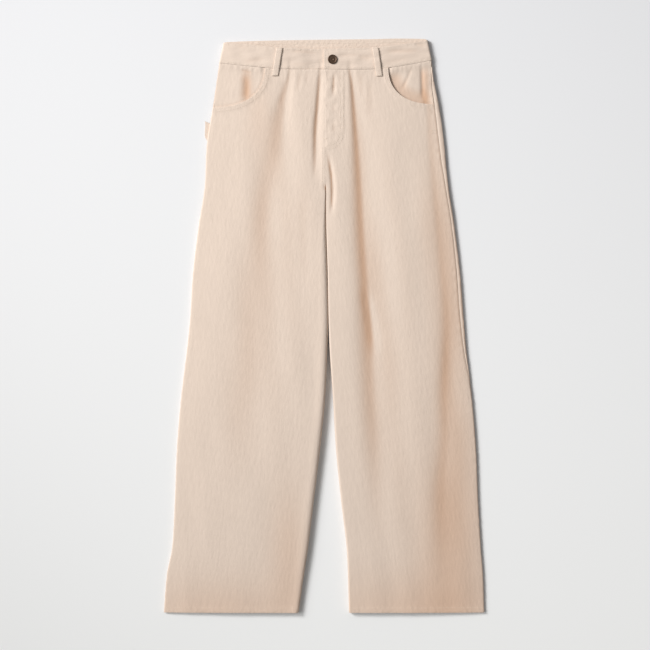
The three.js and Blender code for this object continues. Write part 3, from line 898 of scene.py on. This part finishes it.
# %% Colour and rows of a panel
PAINTED_SHADE_PATCHES = (
    # x, y, half across, half along, share: where painted shade makes the cloth darker and redder
    (-190, -520, 160, 60, 0.40),
    (170, -520, 160, 70, 0.45),
    (-66, -410, 34, 110, 0.35),
    (226, -400, 60, 165, 0.52),
    (214, 60, 26, 200, 0.28),
    (186, 190, 18, 90, 0.18),
    (-118, 370, 24, 70, 0.18),
)


def paint_cloth(mesh, side):
    """Paints shade into the cloth's colour, in its folds and in patches, and marks where stitching
    gathers it.
    """
    x, y, _ = points_of(mesh).T
    normal = read_points(mesh, "normal")
    # Painted shade falls most on the flank of a fold that faces right, away from the light.
    turned_from_light = np.where(normal[:, 2] > 0.3, normal[:, 0], 0)
    depth = fold_depth(x, y) + 1.7 * crease_depth(CREASES, x, y)
    painted_shade = sum(share * bell(x - at_x, wide) * bell(y - at_y, tall)
               for at_x, at_y, wide, tall, share in PAINTED_SHADE_PATCHES)
    # Painted shade: folds, creases and the patches of the table above turn the cloth darker and
    # warmer.
    paint(mesh, "fold", 0.31 * depth * (0.25 + 3.2 * turned_from_light) + painted_shade)
    waist = np.exp(-np.abs(ACROSS.waist_seam(x) - y) / 7)
    hem = np.exp(-(y - HEM_Y) / 9)
    mouth = np.exp(-np.abs(mouth_reach(side, x, y)) / 6) * ease(360, 390, y)
    fly = ease(-2.5, 1.5, x) * (1 - ease(-1, 3, fly_reach(x, y)))
    seam = np.exp(-np.abs(x + 4) / 5) * ease(246, 262, y)
    outer = np.exp(-np.abs(x - outer_x(side, y) + side.sign * 8) / 6)
    gathered = [waist, hem, mouth, 0.45 * fly, 0.5 * seam, 0.4 * outer]
    paint(mesh, "pucker", np.maximum.reduce(gathered))


def make_panel(name, side, face, stretches, rows, top_edge, low=HEM_Y, row=None):
    """A sheet whose columns run round a leg, and whose rows run from low up to its top edge."""
    cells, columns = steps(*stretches)
    high = top_edge(side.sign * SIDE_X)
    row = row or (lambda side_y, x: body_row(side, side_y, x, top_edge))
    place = lambda across, up: tube(side, face, columns(across), mix(low, high, up), row)
    return make_sheet(name, cells, rows, place)


def in_hem(y):
    """1 where the hem is turned up, and 0 above."""
    return 1 - ease(18, 20, y - HEM_Y)

# %% Front panels
FRONT_ROWS = 280
FRONT_COLUMNS = ((0, 1, 8), (1, 2, 80), (2, 3, 6))

fronts = {}
for side in SIDES:
    name = f"front_panel_{side.name}"
    front = make_panel(name, side, "front", FRONT_COLUMNS, FRONT_ROWS, ACROSS.waist_seam)
    cut_away(front.data, lambda x, y: mouth_reach(side, x, y))
    face_away(front.data, (side.sign * 110, 0, 8))
    paint_cloth(front.data, side)
    x, y, _ = points_of(front.data).T
    by_mouth = (1 - ease(TURNED_EDGE - 1, TURNED_EDGE + 1, mouth_reach(side, x, y))) * (y > 380)
    thicken(front, BAND, CLOTH / BAND, np.maximum(in_hem(y), 0.6 * by_mouth))
    fronts[side.name] = dress(front, f"front_{side.name}")

# %% [markdown]
# ## Back panels and yokes
#
# The back is made in the same way, from the hem up to the yoke. A yoke is the shaped strip over
# the seat: it fits the back to the waist without a dart.

# %% Back panels and yokes
BACK_ROWS = 190
YOKE_ROWS = 16
BACK_COLUMNS = ((0, 1, 9), (1, 2, 46), (2, 3, 5))


def yoke_row(side):
    """A row function that bends by degrees from the yoke seam to the waist seam."""
    low, high = (edge(side.sign * SIDE_X) for edge in (ACROSS.yoke, ACROSS.back_seam))
    share = lambda side_y: (side_y - low - GAP) / (high - low - GAP)
    return lambda side_y, x: mix(ACROSS.yoke(x) + GAP, ACROSS.back_seam(x), share(side_y))


backs, yokes = {}, {}
for side in SIDES:
    name = f"back_panel_{side.name}"
    back = make_panel(name, side, "back", BACK_COLUMNS, BACK_ROWS, ACROSS.yoke)
    face_away(back.data, (side.sign * 110, 0, 8))
    paint_cloth(back.data, side)
    thicken(back, BAND, CLOTH / BAND, in_hem(points_of(back.data)[:, 1]))
    backs[side.name] = dress(back, f"back_{side.name}")

    low = ACROSS.yoke(side.sign * SIDE_X) + GAP
    name = f"back_yoke_{side.name}"
    top_edge, row = ACROSS.back_seam, yoke_row(side)
    yoke = make_panel(name, side, "back", BACK_COLUMNS, YOKE_ROWS, top_edge, low, row)
    face_away(yoke.data, (side.sign * 96, 450, 8))
    paint_cloth(yoke.data, side)
    thicken(yoke, CLOTH)
    yokes[side.name] = dress(yoke, f"yoke_{side.name}")

# %% [markdown]
# ## Pocket facings
#
# Behind each mouth lies the facing: the same cloth, sewn to the pocket bag, so that no lining
# shows. It is the front's own surface sunk by a layer, and sunk further where the mouth gapes.

# %% Pocket facings
FACING_MARGIN = 10              # how far it runs on under the front
FACING_ROWS = 56
FACING_COLUMNS = ((0, 1, 9), (1, 1.56, 62))
FACING_CREASES = (
    # from x, from y, to x, to y, bow, half, depth
    (-154, 462, -132, 456, 0, 2.0, 0.9),
    (-144.5, 455, -144.5, 402, 1.5, 6.5, 1.3),
    (157, 472, 136, 424, 2.0, 3.0, 0.8),
    (174, 470, 176, 408, 0, 3.6, 1.8),
)
FACING_SHADE = (
    # x, y, half across, half along, share: the warm shade in the folds behind the mouths
    (-143, 434, 10, 29, 0.65),
    (181, 432, 7, 34, 0.7),
)

facings = {}
for side in SIDES:
    pocket = POCKETS[side.name]
    name = f"pocket_lining_{side.name}"
    low = pocket.y - pocket.deep - 26
    facing = make_panel(name, side, "front", FACING_COLUMNS, FACING_ROWS, ACROSS.waist_seam, low)
    cut_away(facing.data, lambda x, y: FACING_MARGIN - mouth_reach(side, x, y))
    face_away(facing.data, (side.sign * 150, 440, 8))
    x, y, _ = points_of(facing.data).T
    reach = mouth_reach(side, x, y)
    from_waist = ACROSS.waist_seam(x) - y
    under_edge = 0.7 * ease(-6, -1, reach)
    by_waist = 1.2 * ease(-4, -9, reach) * (1 - ease(2, 16, from_waist))
    away_from_side = ease(4, 24, np.abs(x - outer_x(side, y)))
    gape = side.gape * ease(-34, -8, reach) * away_from_side * ease(2, 22, from_waist)
    creases = crease_depth(FACING_CREASES, x, y)
    sink(facing.data, CLOTH + GAP + under_edge + gape + creases - by_waist)
    facing.data.update()
    # Shade is painted into the facing's colour: in its creases, where it gapes further than the
    # right facing does, and in the warm patches of the table above.
    shade = sum(share * bell(x - at_x, wide) * bell((y - at_y) ** 2, tall**2)
                for at_x, at_y, wide, tall, share in FACING_SHADE)
    paint(facing.data, "fold", 0.3 * creases + 0.22 * (gape - RIGHT.gape) + shade)
    paint(facing.data, "pucker", np.exp(-from_waist / 6))
    thicken(facing, CLOTH)
    facing.modifiers["cloth"].use_even_offset = False
    facings[side.name] = dress(facing, f"pocket_facing_{side.name}")

# %% [markdown]
# ## Waistband
#
# The waistband is one long strip, folded double, that runs from the buttoned end round the back to
# the end that lies beneath it. One grid follows it all the way round, so its wales never break.
# The front of it is worn lower than the back, and the inner face of the back shows above it.

# %% Sizes and face of the waistband
BAND_PROUD = 0.4
BAND_UNDERSIDE = 2.2
BAND_FOLD_RADIUS = 6.5
BAND_EDGE_HEIGHT = 5
BAND_SEAM_X = 192.3
BAND_TOP_X = 184.5
UNDERLAP_FROM_X = -62
OVERLAP_END_X = -3
UNDERLAP_END_X = 26
BAND_TALL = 38
BAND_ROWS_AT = (0.07, 0.93)     # the two rows of topstitching, as shares of its height
BAND_CREASES = (
    # from x, from y, to x, to y, bow, half, depth
    (-65, 494.5, -16, 492, 1.0, 2.6, 0.8),
    (-161, 505, -138, 500, 0, 2.2, 0.5),
    (22, 487, 62, 488, 0, 1.8, 0.6),
    (58, 486, 84, 483, -1.0, 5.0, 0.6),
    (106, 495, 170, 496, 0, 3.2, 0.9),
    (162, 509, 182, 505, 0, 3.0, 0.7),
    (-110, 482, -150, 476, 1.0, 4.0, 0.5),
    (-60, 470, -22, 472, 0, 3.0, 0.4),
    (104, 474, 150, 481, 0, 3.0, 0.4),
)
band_undulation = dapple(31, 34, 18)
band_gathers = waves(37, 9)


def on_either_side(height, x, y):
    return np.where(x < 0, height(RIGHT, x, y), height(LEFT, x, y))


def band_up(x, y):
    seam = ACROSS.waist_seam(x)
    return (y - seam) / (ACROSS.band_top(x) - seam)


def band_height(x, y):
    """The height of the waistband's outer face along the front."""
    up = band_up(x, y)
    from_edge = np.minimum(up, 1 - up) * BAND_TALL
    rows = sum(furrow((up - row) * BAND_TALL, 1.4) for row in BAND_ROWS_AT)
    between_rows = ease(0, 0.12, up) * (1 - ease(0.88, 1, up))
    relief = 0.3 * band_undulation(x, y) * between_rows - 0.15 * rows
    relief += 0.12 * band_gathers(x) * bell(from_edge, 6) - 0.45 * (1 - ease(0, 0.09, up))
    relief -= crease_depth(BAND_CREASES, x, y)
    return on_either_side(front_form, x, y) + BAND_PROUD + relief

# %% Round the waist
def band_point(position, up):
    """Points on the waistband's outer face. Its stretches: front, side, back, side and front."""
    stretch = np.clip(np.floor(position), 0, 4).astype(int)
    share = position - stretch
    sign = np.where(position < 2.5, 1, -1)
    edge = mix(BAND_SEAM_X, BAND_TOP_X, up)
    half = edge - BAND_FOLD_RADIUS
    turns = np.interp(position, range(6), (1, 1, -1, -1, 1, 1))
    inward, lift = turned(turns, BAND_FOLD_RADIUS)
    round_side = sign * (edge - inward)
    flat = [mix(OVERLAP_END_X, half, share), round_side, mix(half, -half, share), round_side,
            mix(-half, UNDERLAP_END_X, share)]
    x = np.choose(stretch, flat)
    front_y = mix(ACROSS.waist_seam(x) + GAP, ACROSS.band_top(x), up)
    back_y = mix(ACROSS.back_seam(x) + GAP, ACROSS.back_top(x), up)
    y = mix(back_y, front_y, (turns + 1) / 2)
    under = (stretch == 4) * (BAND + GAP) * ease(UNDERLAP_FROM_X, OVERLAP_END_X - 5, x)
    flat_z = np.where(turns > 0, band_height(x, y), BAND_UNDERSIDE)
    z = mix(BAND_EDGE_HEIGHT, flat_z, lift) - under
    return stack(x, y, z)


def band_length(position):
    """How far along the strip a position is, in millimetres."""
    half = BAND_SEAM_X - BAND_FOLD_RADIUS
    side = math.pi * BAND_FOLD_RADIUS
    ends = np.cumsum([0, half - OVERLAP_END_X, side, 2 * half, side, half + UNDERLAP_END_X])
    return np.interp(position, range(6), ends)

# %% Waistband
BAND_ROWS = 16

cells, columns = steps((0, 1, 100), (1, 2, 10), (2, 3, 70), (3, 4, 10), (4, 5, 110))
place = lambda across, up: (
    band_point(columns(across), up),
    stack(up * BAND_TALL, band_length(columns(across))),
)
band = make_sheet("waistband_strip", cells, BAND_ROWS, place)
face_away(band.data, (0, 490, 10))
x, y, z = points_of(band.data).T
up = band_up(x, y)
# Shade is painted into the band's colour along its creases, and a little along the folds below.
paint(band.data, "fold", 0.2 * crease_depth(BAND_CREASES, x, y) + 0.04 * fold_depth(x, y))
paint(band.data, "pucker", 0.15 + 0.5 * np.exp(-np.minimum(up, 1 - up) * BAND_TALL / 5))
thicken(band, BAND)
dress(band, "waistband", materials=(cord,))
print("the waistband is cut", round(band_length(5)), "mm long")

# %% [markdown]
# ## Straps
#
# A belt loop is a strip folded in three and stitched along both edges, so both of its faces show
# the pile. A bar of dense stitches, the bartack, holds each end. The middle stands only a little
# clear while no belt passes under it. The loops of the back are pressed flat under the garment,
# and so is the hammer loop, whose bent end shows at one side. One function makes them all, because
# they differ only in the path that they follow.

# %% Sizes and paths of the straps
STRAP = 1.7
LOOP_WIDTH = 11
LOOP_LENGTH = 52
LOOP_SHOWN_STAND = 0.7
LOOP_PRESSED = 1.5
FRONT_LOOPS = {
    "right": SimpleNamespace(top_x=-82.8, foot_x=-91, top_y=501, foot_y=450.5),
    "left": SimpleNamespace(top_x=89.6, foot_x=96.8, top_y=501.5, foot_y=450),
}
BACK_LOOPS = {"belt_loop_side_right": -128, "belt_loop_back": 1, "belt_loop_side_left": 130}
HAMMER = SimpleNamespace(x=-218, y=355, width=29, length=42, slant=-0.65, skew=-9.5)


def worn_height(x, y):
    """The height of the front's outer face: the waistband, and below its seam the panels."""
    on_band = ease(-1, 0.5, y - ACROSS.waist_seam(x))
    return mix(on_either_side(front_height, x, y), band_height(x, y), on_band)


def under_height(x, y):
    """The height of the back's outer face, smooth from the waistband down to the seat."""
    seam = ACROSS.back_seam(x)
    return back_height(y) - (SEAT_LIFT - BAND_UNDERSIDE) * ease(seam - 4, seam - 1, y)


def front_loop_point(loop, across, along):
    middle_x = mix(loop.foot_x, loop.top_x, along)
    y = mix(loop.foot_y, loop.top_y, along)
    stand = LOOP_SHOWN_STAND * ease(0.10, 0.3, along) * (1 - ease(0.86, 1, along))
    crown = 0.4 * (1 - np.abs(2 * across - 1) ** 3)
    z = worn_height(middle_x, y) + GAP + STRAP + stand + crown
    return stack(middle_x + (across - 0.5) * LOOP_WIDTH, y, z)


def back_loop_point(middle_x, across, along):
    x = middle_x + (across - 0.5) * LOOP_WIDTH
    y = mix(ACROSS.back_seam(middle_x) - 12, ACROSS.back_top(middle_x) - 1, along)
    return stack(x, y, under_height(x, y) - GAP - LOOP_PRESSED)


def hammer_point(across, along):
    aside = 2 * across - 1
    inward = along * HAMMER.length + aside * HAMMER.skew * (1 - along)
    rounded = 1 - 0.18 * (1 - ease(0, 0.25, along)) * aside**2
    out = aside * HAMMER.width / 2 * rounded
    x = HAMMER.x + inward * math.cos(HAMMER.slant) - out * math.sin(HAMMER.slant)
    y = HAMMER.y + inward * math.sin(HAMMER.slant) + out * math.cos(HAMMER.slant)
    return stack(x, y, under_height(x, y) - GAP - LOOP_PRESSED)


def make_strap(name, node, wide, long, point, thick, inside):
    place = lambda across, along: (point(across, along), stack(across * wide, along * long))
    strap = make_sheet(name, 6, 40, place)
    face_away(strap.data, inside)
    paint(strap.data, "pucker", np.full(len(strap.data.vertices), 0.6))
    thicken(strap, thick)
    return dress(strap, node, materials=(cord,))

# %% Straps
loop_points = {}
for name, loop in FRONT_LOOPS.items():
    loop_points[f"front_loop_{name}"] = partial(front_loop_point, loop)
for name, middle_x in BACK_LOOPS.items():
    loop_points[f"{name}_strap"] = partial(back_loop_point, middle_x)

straps = {}
for name, point in loop_points.items():
    front = name.startswith("front")
    node = name.replace("front_loop", "belt_loop_front").replace("_strap", "")
    thick = STRAP if front else LOOP_PRESSED
    inside = (point(0.5, 0)[0], 485, 8)
    straps[name] = make_strap(name, node, LOOP_WIDTH, LOOP_LENGTH, point, thick, inside)
size, inside = (HAMMER.width, HAMMER.length), (-200, 340, 8)
straps["hammer_strap"] = make_strap(
    "hammer_strap", "hammer_loop", *size, hammer_point, LOOP_PRESSED, inside)

# %% [markdown]
# ## Back pockets
#
# A back pocket is a patch with a pointed foot. Its edges are turned under and sewn down with two
# rows of stitches, and its top edge, the mouth, is hemmed.

# %% Back pockets
PATCH = SimpleNamespace(
    x=96, top_wide=146, foot_wide=126, top_y=392, foot_y=232, point=20, thick=1.4)


def patch_point(side, across, along, inset=0.0):
    wide = mix(PATCH.foot_wide, PATCH.top_wide, along) - 2 * inset
    foot = PATCH.foot_y + inset + PATCH.point * np.abs(2 * across - 1)
    x = side.sign * PATCH.x + (across - 0.5) * wide
    y = mix(foot, PATCH.top_y - inset, along)
    return stack(x, y, under_height(x, y) - GAP - PATCH.thick)


patches = {}
for side in SIDES:
    point = lambda across, along: patch_point(side, across, along)
    place = lambda across, along: (point(across, along), point(across, along)[:, :2])
    patch = make_sheet(f"seat_pocket_{side.name}", 40, 44, place)
    face_away(patch.data, (side.sign * 96, 320, 8))
    x, y, _ = points_of(patch.data).T
    from_edge = np.minimum(PATCH.top_y - y, PATCH.top_wide / 2 - np.abs(x - side.sign * PATCH.x))
    paint(patch.data, "pucker", np.exp(-from_edge / 8))
    thicken(patch, PATCH.thick)
    patches[side.name] = dress(patch, f"back_pocket_{side.name}", materials=(cord,))

# %% [markdown]
# ## Button
#
# A jeans button is a pressed metal cap: a rolled rim round a shallow dish with a dimple. It is a
# body of revolution, so a profile is spun once round, and a Subdivision Surface smooths it.

# %% Button
BUTTON = SimpleNamespace(x=12.6, y=480)
BUTTON_PROFILE = (
    # radius, height
    (0, 0), (7.4, 0), (8.5, 0.7), (8.6, 1.6), (8.1, 2.4), (7.3, 2.6), (6.6, 2.2), (5.4, 1.9),
    (3.2, 2.1), (1.7, 2.2), (1.2, 1.7), (0, 1.5),
)
BUTTON_TURNS = 32
BROWN = (0.050, 0.028, 0.017, 1)
BROWN_WORN = (0.115, 0.070, 0.042, 1)


def button_metal():
    graph = Graph("antique_brass")
    place = graph.node("ShaderNodeTexCoord", output="Object")
    worn = graph.noise(place, (420, 420, 420), 3.0)
    base = graph.blend("MIX", worn, BROWN, BROWN_WORN)
    return graph.surface(base_color=base, metallic=0.6, roughness=0.42)


spun = bmesh.new()
profile = [spun.verts.new((radius * MM, 0, height * MM)) for radius, height in BUTTON_PROFILE]
edges = [spun.edges.new(pair) for pair in zip(profile, profile[1:])]
bmesh.ops.spin(spun, geom=profile + edges, cent=(0, 0, 0), axis=(0, 0, 1), angle=math.tau,
               steps=BUTTON_TURNS, use_merge=True)
bmesh.ops.remove_doubles(spun, verts=spun.verts, dist=0.01 * MM)
bmesh.ops.recalc_face_normals(spun, faces=spun.faces)
button_height = float(worn_height(np.array(BUTTON.x), np.array(BUTTON.y))) + GAP
bmesh.ops.translate(spun, verts=spun.verts, vec=Vector((BUTTON.x, BUTTON.y, button_height)) * MM)
button = add_object("button_cap", mesh_of("button_cap", spun))
smooth = button.modifiers.new("smooth", "SUBSURF")
smooth.levels = smooth.render_levels = 1
dress(button, "button", materials=(button_metal(),), slot="button_metal")

# %% [markdown]
# ## Topstitching
#
# The thread is nearly the cloth's own colour, so the stitches show mostly as fine beads of light.
# A stitch is one small ball from bmesh with few faces, because there are thousands of them: each
# copy is stretched and turned along its seam by arithmetic. A bartack is a short path of stitches
# that lie crosswise and close together.

# %% Thread
STITCH = SimpleNamespace(pitch=3.3, long=2.5, wide=0.62, tall=0.42)
THREAD = (0.690, 0.585, 0.480, 1.0)
thread = Graph("thread").surface(base_color=THREAD, roughness=0.6, specular_ior_level=0.3)

ball = bmesh.new()
bmesh.ops.create_uvsphere(ball, u_segments=6, v_segments=4, radius=0.5)
BALL_POINTS = np.array([vert.co for vert in ball.verts])
BALL_FACES = [[vert.index for vert in face.verts] for face in ball.faces]
ball.free()


def sew(stitches, path, pitch=STITCH.pitch, long=STITCH.long):
    """Adds stitches, each (middle, run), along a path of points in millimetres."""
    along = np.concatenate([[0], np.cumsum(np.linalg.norm(np.diff(path, axis=0), axis=1))])
    count = max(int(along[-1] / pitch), 1)
    middles = (np.arange(count) + 0.5) * along[-1] / count
    at = lambda where: stack(*(np.interp(where, along, column) for column in path.T))
    stitches.extend(zip(at(middles), at(middles + long / 2) - at(middles - long / 2)))


def bartack(stitches, from_point, to_point, wide=1.7):
    start, end = np.array(from_point, float), np.array(to_point, float)
    count = max(int(np.linalg.norm(end - start) / 0.75), 4)
    aside = np.cross([0, 0, 1], (end - start) / np.linalg.norm(end - start)) * wide
    stitches.extend((mix(start, end, (i + 0.5) / count), aside) for i in range(count))


def finish_stitches(name, stitches):
    middles, runs = (np.array(part) for part in zip(*stitches))
    forward = runs / np.linalg.norm(runs, axis=1, keepdims=True)
    aside = np.cross([0, 0, 1], forward)
    aside = aside / np.linalg.norm(aside, axis=1, keepdims=True)
    above = np.cross(forward, aside)
    x, y, z = BALL_POINTS.T[:, None, :, None]
    axes = (part[:, None] for part in (runs, STITCH.wide * aside, STITCH.tall * above))
    points = middles[:, None] + sum(by * axis for by, axis in zip((x, y, z), axes))
    starts = range(0, len(stitches) * len(BALL_POINTS), len(BALL_POINTS))
    faces = [[start + index for index in face] for start in starts for face in BALL_FACES]
    mesh = bpy.data.meshes.new(name)
    mesh.from_pydata((points.reshape(-1, 3) * MM).tolist(), [], faces)
    print(f"{name}: {len(stitches)} stitches")
    dress(add_object(name, mesh), materials=(thread,))

# %% Paths of the stitches
def on_front(x, y):
    """A path on the front."""
    x, y = np.broadcast_arrays(x, y)
    return stack(x, y, worn_height(x, y) + 0.1)


def under_back(x, y):
    """A path under the back."""
    return stack(x, y, under_height(x, y) - 0.1)


def oval_path(oval, sign, reach, start=0.0):
    """Points so far outside a quarter oval, from below its centre round and up to the waist."""
    angle = np.linspace(start, QUARTER, 90)
    x = oval.x - sign * np.sin(angle) ** (2 / oval.fullness) * (oval.wide + reach)
    y = oval.y - np.cos(angle) ** (2 / oval.fullness) * (oval.deep + reach)
    return np.append(x, x[-1]), np.append(y, ACROSS.waist_seam(x[-1]) - 1)

# %% Stitches of the front
stitches = []
for side in SIDES:
    for reach in POCKET_ROWS:
        x, y = oval_path(POCKETS[side.name], side.sign, reach)
        shown = (np.abs(x) < np.abs(outer_x(side, y)) - 3) & (y < ACROSS.waist_seam(x) - 0.5)
        sew(stitches, on_front(x[shown], y[shown]))
for reach in FLY_ROWS:
    sew(stitches, on_front(*oval_path(FLY, -1, reach, start=0.06)))
for row_x in CROTCH_ROWS:
    sew(stitches, on_front(row_x, np.linspace(258, 322, 40)))
bartack(stitches, *on_front((-5, 2.5), 337))
for y in (353, 348):
    bartack(stitches, *on_front((191, 200), y), wide=1.2)
position = np.linspace(0.15, 2.85, 200)
row_y = np.full(200, HEM_Y + HEM_ROW)
for side in SIDES:
    for face in ("front", "back"):
        hem, _ = tube(side, face, position, row_y, level)
        sew(stitches, hem)
finish_stitches("front_stitches", stitches)

# %% Stitches of the waistband and straps
stitches = []
for up in BAND_ROWS_AT:
    for low, high in ((0.01, 1.9), (2.1, 2.9), (3.1, 4.82)):
        sew(stitches, band_point(np.linspace(low, high, 500), up))
for row_x in (-0.4, 5.2):
    sew(stitches, on_front(row_x, np.linspace(466, 496, 20)))
x = np.linspace(-150, 150, 120)
sew(stitches, stack(x, ACROSS.back_top(x) - 7, BAND_UNDERSIDE + BAND + 0.1))
for name, point in loop_points.items():
    row_above, tack_above = (0.05, 0.15) if name.startswith("front") else (0, 0)
    for across in (0.17, 0.83):
        sew(stitches, point(across, np.linspace(0.09, 0.94, 40)) + (0, 0, row_above))
    for end in (0.045, 0.965):
        bartack(stitches, *(point(np.array([0.08, 0.92]), end) + (0, 0, tack_above)))
finish_stitches("band_stitches", stitches)

# %% Stitches of the back
down, over = np.linspace(0.97, 0, 60), np.linspace(0, 1, 60)
sides = [[(at, share) for share in down] for at in (0, 1)]
patch_outline = np.array([*sides[0], *((share, 0) for share in over), *sides[1][::-1]]).T
stitches = []
for side in SIDES:
    for inset in (2.4, 8.0):
        sew(stitches, patch_point(side, *patch_outline, inset))
    sew(stitches, patch_point(side, np.linspace(0.02, 0.98, 60), 1, 14))
    for across in (0.035, 0.965):
        bartack(stitches, *patch_point(side, across, np.array([0.93, 0.99])), wide=2.4)
    x = side.sign * np.linspace(3, 186, 80)
    for above in (2.6, 8.6):
        sew(stitches, under_back(x, ACROSS.yoke(x) + above))
for row_x in (3.2, 9.0):
    sew(stitches, under_back(row_x, np.linspace(256, 472, 80)))
finish_stitches("back_stitches", stitches)

# %% [markdown]
# ## What each sheet was cut to
#
# The size of each sheet's flat cut is printed with its area. A panel's cut is as wide as the
# way round its side of the leg, and as long as the panel. The cut here is that of what shows: the
# seam allowances are left out.

# %% What each sheet was cut to
def cut_size(piece, wide, long, lies_on):
    """Prints a sheet's flat cut and its area, measured on its outer face, at most that of the cut.
    """
    area = min(sum(face.area for face in piece.data.polygons), wide * long * MM * MM)
    flat = (wide * MM, long * MM)
    print(f"{piece.name}: {wide} by {long} mm, {area:.4f} square metres")


for side in SIDES:
    name = side.name
    cut_size(fronts[name], 262, 994, f"back_panel_{name}")
    cut_size(backs[name], 266, 960, "the surface")
    cut_size(yokes[name], 204, 70, f"belt_loop_side_{name}_strap")
    cut_size(facings[name], 116, 106, f"back_panel_{name}")
    cut_size(patches[name], 146, 160, "the surface")
cut_size(band, 38, round(float(band_length(5))), "back loops")
for name, strap in straps.items():
    size = (HAMMER.width, HAMMER.length) if name == "hammer_strap" else (LOOP_WIDTH, LOOP_LENGTH)
    cut_size(strap, *size, "waistband_strip" if name.startswith("front") else "the surface")

# %% [markdown]
# ## Floor and light
#
# The garment lies on a pale, matt surface. The main lamp is a sun off to the left and a little
# above the waist: it stands low, so each fold has a lit flank and a shaded one, and it is broad,
# so the shadows have soft edges. A spot lamp from the same side aims near the waist, and the soft
# edge of its beam makes the light fade towards the hems. The surface is painted lighter towards
# the hems, painted light that makes up for that fade on it. A white surround fills the shadows.
# Another way is one big area lamp close by, but its light also fades from left to right.

# %% Floor and light
PALE_ABOVE = (0.68, 0.68, 0.69, 1)
PALE_BELOW_PAINTED_LIGHTER = (0.79, 0.79, 0.78, 1)


def floor_material():
    graph = Graph("pale_surface")
    place = graph.node("ShaderNodeTexCoord", output="Object")
    up = graph.node("ShaderNodeSeparateXYZ", {"Vector": place}, "Y")
    downwards = {"Value": up, "From Min": 0.6, "From Max": -0.6}
    share = graph.node("ShaderNodeMapRange", downwards)
    # Painted light: the surface is lighter towards the hems, where the beam fades.
    base = graph.blend("MIX", share, PALE_ABOVE, PALE_BELOW_PAINTED_LIGHTER)
    return graph.surface(base_color=base, roughness=0.9, specular_ior_level=0.1)


plane = bmesh.new()
bmesh.ops.create_grid(plane, x_segments=1, y_segments=1, size=6)
floor = add_object("floor", mesh_of("floor", plane))
floor.data.materials.append(floor_material())
floor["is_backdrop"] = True


def lamp(name, kind, place, aim, power, **settings):
    """A lamp at a place, aimed at a point."""
    data = bpy.data.lights.new(name, kind)
    data.energy = power
    for setting, value in settings.items():
        setattr(data, setting, value)
    made = add_object(name, data)
    made.location = place
    made.rotation_mode = "QUATERNION"
    made.rotation_quaternion = (Vector(aim) - Vector(place)).to_track_quat("-Z", "Y")
    print(f"{name}: a {kind.lower()} lamp of {power}")


lamp("key", "SUN", place=(-1.12, 0.3, 1.0), aim=(0, 0, 0), power=1.86, angle=math.radians(42))
lamp("beam", "SPOT", place=(-3.6, 2.2, 3.3), aim=(0.1, 0.4, 0), power=1020,
     spot_size=math.radians(42), spot_blend=1, shadow_soft_size=0.9)
world = bpy.data.worlds.new("studio")
bpy.context.scene.world = world
world.use_nodes = True
surround = world.node_tree.nodes["Background"]
surround.inputs["Color"].default_value = (1, 1, 1, 1)
surround.inputs["Strength"].default_value = 0.28
bpy.context.scene.view_settings.view_transform = "Standard"

# %% Finish
model_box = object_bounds()
size = model_box[1] - model_box[0]
print("the model measures", [round(float(length), 4) for length in size], "metres")
